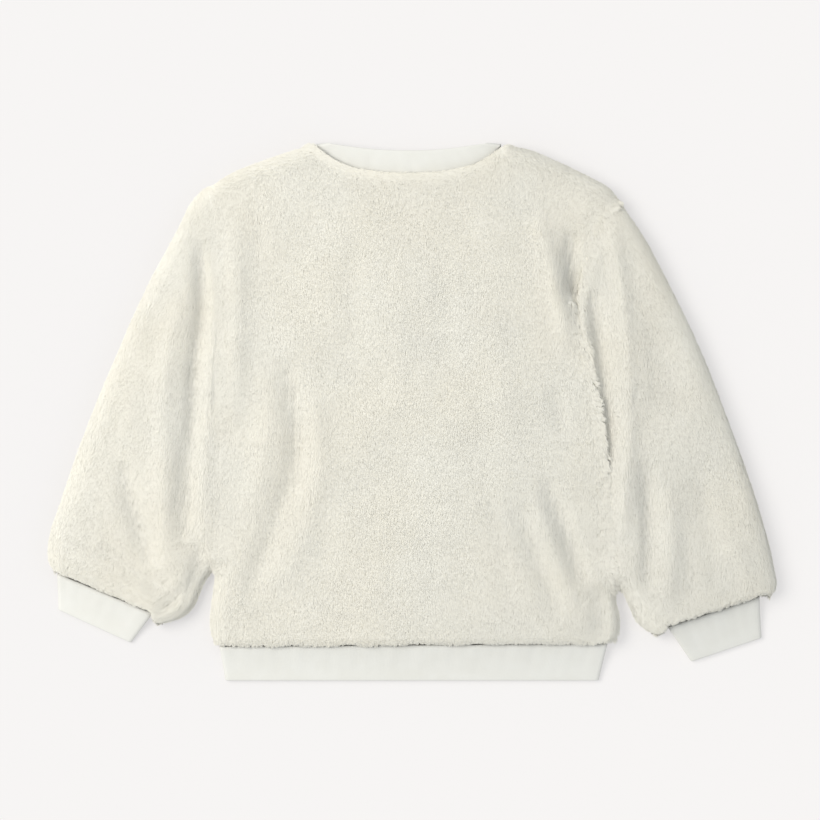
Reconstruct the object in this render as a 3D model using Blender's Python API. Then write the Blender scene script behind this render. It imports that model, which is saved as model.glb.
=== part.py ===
"""A small child's sherpa fleece pullover, laid flat on its front with its back up.

Eight sewn pieces: back and front panels, two sleeves, two cuffs, a hem band and a neck band.
A fleece piece is as thick as its knitted ground and its pile together. Sleeves, cuffs and hem
band are flattened tubes, open at both ends, and the neck band is a flattened ring.

Lengths are in millimetres, and become metres where a mesh is made. X runs across the garment,
Y runs up to the neck and Z is up. The surface that it lies on is Z = 0, and the origin is the
middle of its footprint. Left and right are the viewer's, looking down on the back.
"""

from collections import namedtuple
from math import pi

import bmesh
import bpy
import numpy as np

MM = 0.001
SEAM_GAP = 0.3
TOUCH_GAP = 0.6

GROUND = 1.5
UNDER_PILE = 8.0
FRONT_TOP = UNDER_PILE + GROUND
BACK_LOW = FRONT_TOP + SEAM_GAP
SEAM_HEIGHT = (FRONT_TOP + BACK_LOW) / 2
BODY_CROWN = 21.0
SLEEVE_CROWN = 23.5
SLEEVE_SLIT = 0.8
LAID_FLAT = 0.2

BODY_EDGE = 12.0
SLEEVE_EDGE = 16.0
END_EDGE = 9.0
ARMHOLE_EDGE = 10.0
ARMHOLE_SHARE = 0.72
BAND_SHARE = 0.30

BAND_WALL = 2.4
BAND_SLIT = 0.5
BAND_HALF = BAND_WALL + BAND_SLIT / 2
BAND_DROOP = 1.5
NECK_EASE = 0.4
NECK_FOLD = 4.5

ARMHOLE_LENGTH = 124.0
UNDERARM_TAPER = 40.0
SIDE_SEAM_LENGTH = 240.0
SHOULDER_LENGTH = 92.0

# Mesh spacing.
EDGE_STEPS = 4
ACROSS_STEP = 9.0
ALONG_STEP = 13.0
FRONT_STEP = 20.0
ARMHOLE_STEP = 8.0
BAND_STEP = 20.0
NECK_CELLS = 22
TORSO_SIDE_REACH = 3
SLEEVE_SIDE_REACH = 2
BAND_ROWS = 4
CORNER_CELLS = 3
WALL_CELLS = 3
OPENING_INSET = 2
FLANK_STRIDE = 12
CURVE_STEPS = 16
SEAM_ENDS = 0.001
FLAT_ANGLE = 0.002
SHARP_ANGLE = pi / 4

# The torso's two side edges at each section, from the shoulder tips down to the underarms.
Section = namedtuple("Section", "left_x left_y right_x right_y")
ARMHOLE_SECTIONS = [
    Section(-164.0, 179.4, 165.2, 170.0),
    Section(-159.6, 161.0, 152.6, 156.0),
    Section(-156.4, 140.0, 145.4, 141.5),
    Section(-155.0, 113.0, 138.2, 117.0),
    Section(-154.8, 84.0, 132.6, 88.0),
    Section(-154.8, 54.0, 136.2, 54.0),
]
# The same from the underarms down to the corners above the hem band.
SIDE_SECTIONS = [
    Section(-154.8, 54.0, 136.2, 54.0),
    Section(-154.8, 8.0, 144.8, 8.0),
    Section(-154.0, -40.0, 152.4, -40.0),
    Section(-154.2, -84.0, 155.4, -84.0),
    Section(-156.4, -118.0, 158.4, -118.0),
    Section(-161.2, -148.0, 164.0, -150.0),
    Section(-163.0, -172.0, 166.8, -171.0),
    Section(-160.0, -183.6, 164.4, -181.4),
]
HEM_SEAM_LEFT = (-153.2, -186.8)
HEM_SEAM_RIGHT = (154.8, -184.6)
HEM_END_LEFT = (-149.4, -215.2)
HEM_END_RIGHT = (148.6, -215.2)

# Top edge of the panels: each shoulder line, and the back and front neck seams.
Point = namedtuple("Point", "x y")
SHOULDER_LEFT = [Point(-164.0, 179.4), Point(-150.0, 189.4), Point(-118.0, 203.2), Point(-80.0, 215.2)]
SHOULDER_RIGHT = [Point(73.0, 215.2), Point(90.0, 212.0), Point(110.0, 204.4), Point(140.0, 190.4),
                  Point(158.0, 179.8), Point(165.2, 170.0)]
BACK_NECK = [Point(-80.0, 215.2), Point(-66.0, 203.6), Point(-49.0, 195.4), Point(-25.0, 191.2),
             Point(-2.0, 190.6), Point(28.0, 192.2), Point(49.0, 197.4), Point(62.0, 204.6),
             Point(73.0, 215.2)]
FRONT_NECK = [Point(-80.0, 215.2), Point(-68.0, 188.0), Point(-43.0, 160.0), Point(-3.5, 150.0),
              Point(36.0, 160.0), Point(61.0, 188.0), Point(73.0, 215.2)]
# Free edge of the neck band, across the back and across the front.
BACK_NECK_FREE = [Point(-67.6, 214.6), Point(-50.0, 211.6), Point(-25.0, 208.9), Point(-2.0, 208.2),
                  Point(27.0, 209.6), Point(46.0, 212.2), Point(60.4, 214.6)]
FRONT_NECK_FREE = [Point(-67.6, 214.6), Point(-55.0, 194.0), Point(-34.0, 178.0), Point(-3.5, 171.0),
                   Point(27.0, 178.0), Point(48.0, 194.0), Point(60.4, 214.6)]

# A sleeve: its outer edge, the height where its inner edge leaves the body, the lobe that its
# inner edge ends in and the turn from that to the cuff, the two ends of its cuff seam, and the
# cuff's free corners.
Sleeve = namedtuple("Sleeve",
                    "side outer leaves_body_y lobe turn seam_outer seam_inner cuff_outer cuff_inner")
SLEEVES = {
    "left": Sleeve(
        side=-1,
        outer=[Point(-174.8, 171.6), Point(-188.4, 147.6), Point(-212.0, 104.0), Point(-239.4, 43.0),
               Point(-259.0, -4.0), Point(-282.0, -69.0), Point(-292.2, -102.0), Point(-292.8, -116.0),
               Point(-288.6, -126.6)],
        leaves_body_y=-114.0,
        lobe=[Point(-157.9, -121.0), Point(-161.8, -131.0), Point(-167.4, -142.0), Point(-172.4, -153.6),
              Point(-178.6, -161.6), Point(-187.6, -166.8), Point(-199.4, -170.0)],
        turn=Point(-206.8, -168.2),
        seam_outer=Point(-283.0, -128.8),
        seam_inner=Point(-208.8, -160.0),
        cuff_outer=Point(-283.6, -158.8),
        cuff_inner=Point(-226.8, -184.6)),
    "right": Sleeve(
        side=1,
        outer=[Point(180.2, 150.0), Point(206.8, 102.0), Point(230.0, 54.0), Point(249.2, 6.0),
               Point(267.0, -42.0), Point(282.4, -90.0), Point(290.6, -124.0), Point(292.8, -137.0),
               Point(288.4, -147.0)],
        leaves_body_y=-128.0,
        lobe=[Point(162.9, -136.0), Point(166.8, -144.0), Point(171.2, -154.0), Point(175.8, -165.0),
              Point(182.6, -172.8), Point(190.8, -177.6)],
        turn=Point(199.8, -178.4),
        seam_outer=Point(276.4, -147.2),
        seam_inner=Point(205.2, -170.8),
        cuff_outer=Point(279.6, -181.2),
        cuff_inner=Point(224.6, -199.8)),
}

# Folds lie along a curve through three points. A rise below zero is a trough.
Fold = namedtuple("Fold", "start middle end half_width rise")
BODY_FOLDS = [
    Fold((-142, 160), (-140, 90), (-141, -10), 9.0, 3.6),
    Fold((-101, 46), (-92, -22), (-101, -76), 8.0, -4.6),
    Fold((-96, -50), (-113, -98), (-132, -152), 9.0, -4.2),
    Fold((-118, 40), (-117, -20), (-130, -80), 9.0, 2.4),
    Fold((-78, 20), (-74, -40), (-104, -140), 10.0, 2.6),
    Fold((98, 160), (113, 104), (124, 50), 8.0, 4.6),
    Fold((128, 148), (127, 122), (129, 88), 6.0, -7.0),
    Fold((108, 20), (117, 2), (118, -18), 7.0, -2.4),
    Fold((62, 90), (70, 30), (74, -36), 12.0, 1.8),
    Fold((104, -50), (120, -88), (137, -138), 6.5, -4.6),
    Fold((82, -70), (98, -112), (118, -164), 8.0, -3.2),
    Fold((92, -58), (110, -104), (130, -160), 6.5, 2.2),
    Fold((148, -136), (151, -160), (148, -182), 9.0, -4.0),
]
SLEEVE_FOLDS = {
    "left": [
        Fold((-167, 140), (-167, 84), (-175, 20), 6.5, -7.0),
        Fold((-171, 48), (-177, -30), (-180, -100), 6.5, -6.6),
        Fold((-184, 100), (-196, 30), (-198, -50), 9.0, 3.6),
        Fold((-198, -30), (-197, -84), (-190, -128), 9.0, 3.4),
        Fold((-232, -38), (-219, -84), (-204, -122), 7.0, -4.6),
        Fold((-252, -106), (-222, -120), (-184, -148), 7.5, -4.2),
        Fold((-288, -112), (-258, -124), (-226, -136), 9.0, 2.4),
        Fold((-168, -104), (-176, -136), (-202, -160), 5.5, -4.8),
        Fold((-226, -134), (-212, -146), (-198, -158), 6.0, 2.0),
    ],
    "right": [
        Fold((156, 152), (168, 80), (172, 6), 8.0, 4.4),
        Fold((173, 30), (171, -30), (166, -100), 8.0, 3.6),
        Fold((142, 100), (151, 40), (159, -50), 6.5, -8.0),
        Fold((180, 80), (183, 40), (185, -6), 6.0, 1.8),
        Fold((185, -36), (188, -86), (186, -142), 6.5, -5.4),
        Fold((203, -50), (205, -112), (198, -164), 9.0, 3.4),
        Fold((226, -30), (234, -84), (242, -140), 10.0, -2.4),
        Fold((252, -100), (264, -122), (272, -142), 8.0, 1.8),
    ],
}

FLEECE = (0.79, 0.77, 0.68)
JERSEY = (0.84, 0.83, 0.77)
FLEECE_FINISH = (FLEECE, 0.95)
JERSEY_FINISH = (JERSEY, 0.85)


def smooth_path(points):
    """A smooth curve through points, as a fine polyline."""
    nodes = np.array(points, float)
    spans = np.linalg.norm(np.diff(nodes, axis=0), axis=1)
    slopes = np.diff(nodes, axis=0) / spans[:, None]
    tangents = np.empty_like(nodes)
    tangents[0] = slopes[0]
    tangents[-1] = slopes[-1]
    before = spans[:-1, None]
    after = spans[1:, None]
    tangents[1:-1] = (slopes[:-1] * after + slopes[1:] * before) / (before + after)
    t = np.linspace(0, 1, CURVE_STEPS, endpoint=False)[:, None]
    rows = []
    for k, span in enumerate(spans):
        rows.append((2 * t**3 - 3 * t**2 + 1) * nodes[k]
                    + (t**3 - 2 * t**2 + t) * span * tangents[k]
                    + (3 * t**2 - 2 * t**3) * nodes[k + 1]
                    + (t**3 - t**2) * span * tangents[k + 1])
    return np.vstack(rows + [nodes[-1:]])


def length_of(path):
    return float(np.linalg.norm(np.diff(path, axis=0), axis=1).sum())


def fractions_of(path):
    """How far along its length each point of a path is, from 0 to 1."""
    steps = np.linalg.norm(np.diff(path, axis=0), axis=1)
    return np.concatenate([[0.0], np.cumsum(steps)]) / steps.sum()


def at(path, fractions):
    """The points at these fractions of a path's length."""
    own = fractions_of(path)
    return np.column_stack([np.interp(fractions, own, path[:, 0]), np.interp(fractions, own, path[:, 1])])


def offset(path, distance):
    """The path moved sideways, to the right of its direction where distance is above zero."""
    direction = np.gradient(path, axis=0)
    direction /= np.linalg.norm(direction, axis=1)[:, None]
    return path + distance * np.column_stack([direction[:, 1], -direction[:, 0]])


def edge_spacing(length, start_edge, end_edge, step):
    """Fractions of a length: close together on each rounded edge, about a step apart between."""
    quarter = 1 - np.cos(np.linspace(0, pi / 2, EDGE_STEPS + 1))
    cells = max(1, round((length - start_edge - end_edge) / step))
    between = np.linspace(start_edge, length - end_edge, cells + 1)
    start = start_edge * quarter[:-1] if start_edge else []
    end = length - end_edge * quarter[-2::-1] if end_edge else []
    return np.concatenate([start, between, end]) / length


def plan_grid(left, right, top, bottom, side_reach=1):
    """A grid between four edges that share their corners: rows run from left to right.

    The higher side_reach is, the sooner a bend in a side edge dies out across the grid.
    """
    u = ((fractions_of(top) + fractions_of(bottom)) / 2)[None, :, None]
    v = ((fractions_of(left) + fractions_of(right)) / 2)[:, None, None]
    down = (1 - v) * top[None] + v * bottom[None]
    left_bend = left[:, None] - down[:, :1]
    right_bend = right[:, None] - down[:, -1:]
    return down + (1 - u) ** side_reach * left_bend + u ** side_reach * right_bend


def rise(distance, radius, share=0.0):
    """Height across a rounded edge, as a share of full height: a quarter ellipse."""
    t = np.clip(distance / radius, 0, 1)
    return share + (1 - share) * np.sqrt(1 - (1 - t) ** 2)


def laid(height):
    """An underside, flat on the surface wherever it all but touches it."""
    return np.where(height < LAID_FLAT, 0.0, height)


def distances(plan):
    """How far each grid point is from the grid's left, right, top and bottom edge."""
    edges = (plan[:, :1], plan[:, -1:], plan[:1], plan[-1:])
    return [np.linalg.norm(plan - edge, axis=2) for edge in edges]


def fold_height(plan, folds):
    """What all the folds add at each grid point."""
    height = np.zeros(plan.shape[:2])
    for fold in folds:
        path = smooth_path([fold.start, fold.middle, fold.end])
        away = np.linalg.norm(plan[:, :, None] - path[None, None], axis=3)
        nearest = away.argmin(axis=2)
        along = fractions_of(path)[nearest]
        taper = 1 - (2 * along - 1) ** 4
        height += fold.rise * taper * np.exp(-(away.min(axis=2) / fold.half_width) ** 2)
    return height


def seam_share(edge, seam_start, seam_end, share):
    """The share of its height that an edge keeps: none at its corners, full along its seam."""
    corner = np.array([seam_start, seam_end], float)
    near = np.linalg.norm(edge[:, None] - corner[None], axis=2).min(axis=1)
    straight = np.array(seam_end, float) - corner[0]
    along = (edge - corner[0]) @ straight / (straight @ straight)
    inside = (along > SEAM_ENDS) & (along < 1 - SEAM_ENDS)
    return np.where(inside, share * rise(near, END_EDGE), 0.0)


def end_edge(start, seam_start, seam_end, turn, end, counts):
    """A piece's last edge: a corner, then its straight seam, then a corner with a turn in it."""
    stretches = [[start, seam_start], [seam_start, seam_end], [seam_end, *turn, end]]
    rows = [np.array([start], float)]
    for stretch, count in zip(stretches, counts):
        rows.append(at(smooth_path(stretch), np.linspace(0, 1, count + 1))[1:])
    return np.vstack(rows)


def add_face(mesh, corners):
    """A face, or none where its corners have run together."""
    kept = []
    for corner in corners:
        if corner not in kept:
            kept.append(corner)
    if len(kept) > 2:
        mesh.faces.new(kept)


def make_object(name, mesh, colour, roughness):
    """Tidy a mesh, put it in the scene in metres, and give it its own material."""
    bmesh.ops.recalc_face_normals(mesh, faces=mesh.faces)
    bmesh.ops.dissolve_limit(mesh, angle_limit=FLAT_ANGLE, verts=mesh.verts, edges=mesh.edges)
    bmesh.ops.triangulate(mesh, faces=mesh.faces, ngon_method="EAR_CLIP")
    bmesh.ops.scale(mesh, vec=(MM, MM, MM), verts=mesh.verts)
    data = bpy.data.meshes.new(name)
    mesh.to_mesh(data)
    mesh.free()
    data.shade_smooth()
    data.set_sharp_from_angle(angle=SHARP_ANGLE)
    material = bpy.data.materials.new(name)
    material.use_nodes = True
    shader = material.node_tree.nodes["Principled BSDF"]
    shader.inputs["Base Color"].default_value = (*colour, 1)
    shader.inputs["Roughness"].default_value = roughness
    shader.inputs["Metallic"].default_value = 0
    data.materials.append(material)
    bpy.context.collection.objects.link(bpy.data.objects.new(name, data))


def layer_points(mesh, plan, height):
    """One mesh vertex at each grid point."""
    rows, columns = height.shape
    return [[mesh.verts.new((*plan[i, j], height[i, j])) for j in range(columns)] for i in range(rows)]


def make_slab(name, plan, high, low):
    """A fleece panel: the solid between two surfaces over one grid."""
    mesh = bmesh.new()
    top = layer_points(mesh, plan, high)
    bottom = layer_points(mesh, plan, low)
    rows, columns = high.shape
    for i in range(rows - 1):
        for j in range(columns - 1):
            for layer in (top, bottom):
                add_face(mesh, (layer[i][j], layer[i + 1][j], layer[i + 1][j + 1], layer[i][j + 1]))
    rim = [(0, j) for j in range(columns)]
    rim += [(i, columns - 1) for i in range(1, rows)]
    rim += [(rows - 1, j) for j in reversed(range(columns - 1))]
    rim += [(i, 0) for i in reversed(range(1, rows - 1))]
    for (i, j), (k, m) in zip(rim, rim[1:] + rim[:1]):
        add_face(mesh, (top[i][j], top[k][m], bottom[k][m], bottom[i][j]))
    make_object(name, mesh, *FLEECE_FINISH)


def make_tube(name, upper_plan, lower_plan, high, low, slit_high, slit_low, slit, end_open, finish):
    """A flattened tube: two layers joined at their side edges, with a slit between them.

    slit says which grid cells lie over the slit. The tube is open along its whole first row, and
    along its last row between the columns in end_open.
    """
    rows, columns = high.shape
    mesh = bmesh.new()
    top = layer_points(mesh, upper_plan, high)
    bottom = layer_points(mesh, lower_plan, low)
    for i in range(rows):
        for j in range(columns):
            on_side = j in (0, columns - 1)
            on_closed_end = i == rows - 1 and not end_open[0] < j < end_open[1]
            if on_side or on_closed_end:
                mesh.verts.remove(bottom[i][j])
                bottom[i][j] = top[i][j]
    ceiling = {}
    ground = {}
    for i, j in zip(*np.nonzero(slit)):
        for corner in ((i, j), (i + 1, j), (i + 1, j + 1), (i, j + 1)):
            if corner not in ceiling:
                ceiling[corner] = mesh.verts.new((*upper_plan[corner], slit_high[corner]))
                ground[corner] = mesh.verts.new((*lower_plan[corner], slit_low[corner]))
    for i in range(rows - 1):
        for j in range(columns - 1):
            for layer in (top, bottom):
                add_face(mesh, (layer[i][j], layer[i + 1][j], layer[i + 1][j + 1], layer[i][j + 1]))
            if slit[i, j]:
                cell = ((i, j), (i + 1, j), (i + 1, j + 1), (i, j + 1))
                add_face(mesh, [ceiling[corner] for corner in cell])
                add_face(mesh, [ground[corner] for corner in cell])
                sides = {(i, j - 1): (cell[0], cell[1]), (i + 1, j): (cell[1], cell[2]),
                         (i, j + 1): (cell[2], cell[3]), (i - 1, j): (cell[3], cell[0])}
                for (k, m), (first, last) in sides.items():
                    inside = 0 <= m < columns - 1 and 0 <= k < rows - 1 and slit[k, m]
                    leaves = k in (-1, rows - 1)
                    if not inside and not leaves:
                        add_face(mesh, (ceiling[first], ceiling[last], ground[last], ground[first]))
    for i, cell_row, (first, last) in ((0, 0, (0, columns - 1)), (rows - 1, rows - 2, end_open)):
        for j in range(first, last):
            near, far = (i, j), (i, j + 1)
            if slit[cell_row, j]:
                add_face(mesh, (top[i][j], top[i][j + 1], ceiling[far], ceiling[near]))
                add_face(mesh, (ground[near], ground[far], bottom[i][j + 1], bottom[i][j]))
            else:
                add_face(mesh, end_corners(top, bottom, ceiling, ground, i, j))
    make_object(name, mesh, *finish)


def end_corners(top, bottom, ceiling, ground, i, j):
    """The corners of one end face beside the slit, with the slit's own corner where it has one."""
    corners = [top[i][j], top[i][j + 1]]
    if (i, j + 1) in ceiling:
        corners += [ceiling[i, j + 1], ground[i, j + 1]]
    corners += [bottom[i][j + 1], bottom[i][j]]
    if (i, j) in ceiling:
        corners += [ground[i, j], ceiling[i, j]]
    return corners


def side_path(sections, side):
    """One side edge of the torso through its sections."""
    return smooth_path([row[:2] if side < 0 else row[2:] for row in sections])


def armhole_edge(side):
    """Points down an armhole seam. The panels' rows and a sleeve's columns both end on them."""
    path = side_path(ARMHOLE_SECTIONS, side)
    return at(path, edge_spacing(ARMHOLE_LENGTH, SLEEVE_EDGE, SLEEVE_EDGE, ARMHOLE_STEP))


def armhole_share():
    """The share of its height that fleece keeps at the armhole seam, none at the underarm."""
    above_underarm = ARMHOLE_LENGTH * (1 - fractions_of(armhole_edge(-1)))
    return ARMHOLE_SHARE * rise(above_underarm, UNDERARM_TAPER)


def torso_side(side):
    """Points down one side of a torso panel: its armhole, then its side seam."""
    spacing = edge_spacing(SIDE_SEAM_LENGTH, 0, END_EDGE, ALONG_STEP)
    return np.vstack([armhole_edge(side), at(side_path(SIDE_SECTIONS, side), spacing)[1:]])


def panel_grid(neck, step):
    """Plan of a torso panel with this neck seam, and its rise from its edges, 0 to 1."""
    left = torso_side(-1)
    right = torso_side(1)
    shoulder_cells = EDGE_STEPS + round((SHOULDER_LENGTH - BODY_EDGE) / step)
    shoulder = edge_spacing(SHOULDER_LENGTH, BODY_EDGE, 0, step)
    top = np.vstack([at(smooth_path(SHOULDER_LEFT), shoulder),
                     at(smooth_path(neck), np.linspace(0, 1, NECK_CELLS + 1))[1:],
                     at(smooth_path(SHOULDER_RIGHT), 1 - shoulder[::-1])[1:]])
    seam_cells = len(top) - 1 - 2 * EDGE_STEPS
    bottom = end_edge(left[-1], HEM_SEAM_LEFT, HEM_SEAM_RIGHT, [], right[-1],
                      (EDGE_STEPS, seam_cells, EDGE_STEPS))
    plan = plan_grid(left, right, top, bottom, side_reach=TORSO_SIDE_REACH)
    side_share = np.zeros(len(left))
    side_share[:len(armhole_share())] = armhole_share()
    neck_share = np.zeros(len(top))
    neck_share[shoulder_cells + 1:shoulder_cells + NECK_CELLS] = BAND_SHARE
    hem_share = seam_share(bottom, HEM_SEAM_LEFT, HEM_SEAM_RIGHT, BAND_SHARE)
    from_left, from_right, from_top, from_bottom = distances(plan)
    edge_rise = (rise(from_left, BODY_EDGE, side_share[:, None])
                 * rise(from_right, BODY_EDGE, side_share[:, None])
                 * rise(from_top, BODY_EDGE, neck_share[None])
                 * rise(from_bottom, END_EDGE, hem_share[None]))
    return plan, edge_rise


def make_panels():
    """The back on top of the front: flat where they meet, rounded away at their outer edges."""
    plan, edge_rise = panel_grid(BACK_NECK, ACROSS_STEP)
    edge_top = BACK_LOW + GROUND
    crown = BODY_CROWN + fold_height(plan, BODY_FOLDS)
    make_slab("back_panel", plan, edge_top + (crown - edge_top) * edge_rise, np.full_like(crown, BACK_LOW))
    plan, edge_rise = panel_grid(FRONT_NECK, FRONT_STEP)
    low = laid(UNDER_PILE * (1 - edge_rise))
    make_slab("front_panel", plan, np.full_like(low, FRONT_TOP), low)


def make_sleeve(name, sleeve, folds):
    """A sleeve: its rows run from its outer edge to its inner edge, from armhole to cuff."""
    top = offset(armhole_edge(sleeve.side), -sleeve.side * SEAM_GAP)
    outer_path = smooth_path([top[0], *sleeve.outer])
    flank = offset(side_path(SIDE_SECTIONS, sleeve.side), -sleeve.side * TOUCH_GAP)
    beside_body = flank[flank[:, 1] > sleeve.leaves_body_y][1::FLANK_STRIDE]
    inner_path = smooth_path([top[-1], *beside_body, *sleeve.lobe])
    spacing = edge_spacing(length_of(outer_path), ARMHOLE_EDGE, END_EDGE, ALONG_STEP)
    outer = at(outer_path, spacing)
    inner = at(inner_path, spacing)
    cells = len(top) - 1
    opening = (CORNER_CELLS, cells - CORNER_CELLS)
    end = end_edge(outer[-1], sleeve.seam_outer, sleeve.seam_inner, [sleeve.turn], inner[-1],
                   (CORNER_CELLS, cells - 2 * CORNER_CELLS, CORNER_CELLS))
    plan = plan_grid(outer, inner, top, end, side_reach=SLEEVE_SIDE_REACH)
    end_share = seam_share(end, sleeve.seam_outer, sleeve.seam_inner, BAND_SHARE)
    from_outer, from_inner, from_armhole, from_end = distances(plan)
    edge_rise = (rise(from_outer, SLEEVE_EDGE)
                 * rise(from_inner, SLEEVE_EDGE)
                 * rise(from_armhole, ARMHOLE_EDGE, armhole_share()[None])
                 * rise(from_end, END_EDGE, end_share[None]))
    crown = SLEEVE_CROWN + fold_height(plan, folds)
    high = SEAM_HEIGHT + (crown - SEAM_HEIGHT) * edge_rise
    low = laid(SEAM_HEIGHT * (1 - edge_rise))
    slit = np.zeros((len(plan) - 1, cells), bool)
    slit[:-EDGE_STEPS, WALL_CELLS:-WALL_CELLS] = True
    slit[:, opening[0] + OPENING_INSET:opening[1] - OPENING_INSET] = True
    level = np.full_like(high, SEAM_HEIGHT)
    make_tube(name, plan, plan, high, low, level + SLEEVE_SLIT / 2, level - SLEEVE_SLIT / 2,
              slit, opening, FLEECE_FINISH)


def make_band(name, seam_start, seam_end, free_start, free_end):
    """A doubled band, sewn on along its first edge, that droops to the surface at its free edge."""
    seam = np.array([seam_start, seam_end], float)
    free = np.array([free_start, free_end], float)
    outward = free.mean(axis=0) - seam.mean(axis=0)
    seam = seam + SEAM_GAP * outward / np.linalg.norm(outward)
    spacing = edge_spacing(length_of(seam), BAND_HALF, BAND_HALF, BAND_STEP)
    down = np.linspace(0, 1, BAND_ROWS + 1)
    plan = plan_grid(at(np.array([seam[0], free[0]]), down), at(np.array([seam[1], free[1]]), down),
                     at(seam, spacing), at(free, spacing))
    from_start, from_end, _, _ = distances(plan)
    round_side = rise(from_start, BAND_HALF) * rise(from_end, BAND_HALF)
    droop = (1 - down[:, None]) ** BAND_DROOP * np.ones_like(round_side)
    middle = BAND_HALF + (SEAM_HEIGHT - BAND_HALF) * droop
    slit = np.zeros((BAND_ROWS, len(spacing) - 1), bool)
    slit[:, EDGE_STEPS:-EDGE_STEPS] = True
    make_tube(name, plan, plan, middle + BAND_HALF * round_side, middle - BAND_HALF * round_side,
              middle + BAND_SLIT / 2, middle - BAND_SLIT / 2, slit, (0, len(spacing) - 1), JERSEY_FINISH)


def neck_half(free_edge, neck):
    """Plan of the neck band's back or front half, its rows from the free edge to the seam.

    Between its two folds its columns meet the panel's own columns.
    """
    seam = offset(smooth_path(neck), -NECK_EASE)
    fold = (NECK_FOLD + BAND_HALF * (1 - np.cos(np.linspace(0, pi / 2, EDGE_STEPS + 1)))) / length_of(seam)
    spacing = np.concatenate([fold, np.arange(1, NECK_CELLS) / NECK_CELLS, 1 - fold[::-1]])
    free = at(smooth_path(free_edge), (spacing - fold[0]) / (1 - 2 * fold[0]))
    down = np.linspace(0, 1, BAND_ROWS + 1)[:, None, None]
    return (1 - down) * free[None] + down * at(seam, spacing)[None]


def make_neck_band():
    """The neck band: its back half lies over its front half, and they fold into each other."""
    back = neck_half(BACK_NECK_FREE, BACK_NECK)
    front = neck_half(FRONT_NECK_FREE, FRONT_NECK)
    for fold in (slice(None, EDGE_STEPS + 1), slice(-EDGE_STEPS - 1, None)):
        front[:, fold] = back[:, fold]
    from_start, from_end, _, _ = distances(back)
    round_fold = rise(from_start, BAND_HALF) * rise(from_end, BAND_HALF)
    level = np.full(round_fold.shape, SEAM_HEIGHT)
    slit = np.zeros((BAND_ROWS, back.shape[1] - 1), bool)
    slit[:, EDGE_STEPS:-EDGE_STEPS] = True
    make_tube("neck_band", back, front, level + BAND_HALF * round_fold, level - BAND_HALF * round_fold,
              level + BAND_SLIT / 2, level - BAND_SLIT / 2, slit, (0, back.shape[1] - 1), JERSEY_FINISH)


def main():
    for old in list(bpy.data.objects):
        bpy.data.objects.remove(old, do_unlink=True)
    make_panels()
    for where, sleeve in SLEEVES.items():
        make_sleeve(f"sleeve_{where}", sleeve, SLEEVE_FOLDS[where])
        make_band(f"cuff_{where}", sleeve.seam_outer, sleeve.seam_inner, sleeve.cuff_outer, sleeve.cuff_inner)
    make_band("hem_band", HEM_SEAM_LEFT, HEM_SEAM_RIGHT, HEM_END_LEFT, HEM_END_RIGHT)
    make_neck_band()


main()
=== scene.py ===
"""The looks of a small child's sherpa fleece pullover, laid flat on its front with its back up.

Each fleece piece is a thin shell of ground cloth, with a pile of fine tufts that reach out to the
form of its solid, and a little over it along some seams. The neck band, the cuffs and the hem band
are doubled jersey, rounded at their folded edges, with the wales of the knit in their material.

Tables hold millimetres in the frame of the solids: X across the garment, Y up to the neck, Z up
from the surface that it lies on. Left and right are the viewer's, looking down on the back.
"""

from collections import namedtuple
from math import pi, radians

import bmesh
import bpy
import numpy as np
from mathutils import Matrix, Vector


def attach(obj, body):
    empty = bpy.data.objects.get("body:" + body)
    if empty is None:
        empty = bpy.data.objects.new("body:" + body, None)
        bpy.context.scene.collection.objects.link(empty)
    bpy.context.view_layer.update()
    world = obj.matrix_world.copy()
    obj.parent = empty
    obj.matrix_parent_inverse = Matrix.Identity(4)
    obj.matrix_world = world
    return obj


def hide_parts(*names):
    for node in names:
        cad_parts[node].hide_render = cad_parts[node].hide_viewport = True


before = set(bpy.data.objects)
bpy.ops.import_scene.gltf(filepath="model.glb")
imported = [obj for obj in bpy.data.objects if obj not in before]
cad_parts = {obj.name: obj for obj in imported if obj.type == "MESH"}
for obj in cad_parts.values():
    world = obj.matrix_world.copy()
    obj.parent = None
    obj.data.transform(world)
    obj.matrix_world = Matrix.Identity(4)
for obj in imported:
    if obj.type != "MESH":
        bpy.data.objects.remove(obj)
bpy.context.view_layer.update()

MM = 0.001
SEAM_GAP = 0.3
TOUCH_GAP = 0.6

# The solids' own heights and rounded edges.
GROUND = 1.5
UNDER_PILE = 8.0
FRONT_TOP = UNDER_PILE + GROUND
BACK_LOW = FRONT_TOP + SEAM_GAP
SEAM_HEIGHT = (FRONT_TOP + BACK_LOW) / 2
BODY_CROWN = 21.0
SLEEVE_CROWN = 23.5
BODY_EDGE = 12.0
SLEEVE_EDGE = 16.0
END_EDGE = 9.0
ARMHOLE_EDGE = 10.0
BAND_SHARE = 0.30
BAND_WALL = 2.4
BAND_SLIT = 0.5
BAND_HALF = BAND_WALL + BAND_SLIT / 2
BAND_DROOP = 1.5
NECK_EASE = 0.4
NECK_FOLD = 4.5
ARMHOLE_LENGTH = 124.0
UNDERARM_TAPER = 40.0
SIDE_SEAM_LENGTH = 240.0
SHOULDER_LENGTH = 92.0

# Mesh spacing of the cloth shells.
EDGE_STEPS = 6
ACROSS_STEP = 6.0
ALONG_STEP = 7.0
FRONT_STEP = 10.0
ARMHOLE_STEP = 6.0
NECK_CELLS = 30
TORSO_SIDE_REACH = 3
SLEEVE_SIDE_REACH = 2
CORNER_CELLS = 3
CURVE_STEPS = 16
SEAM_ENDS = 0.001
FLANK_STRIDE = 12
# Steps across a rounded edge, as shares of its width: closest together at the very edge.
QUARTER = 1 - np.cos(np.linspace(0, pi / 2, EDGE_STEPS + 1))

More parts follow.
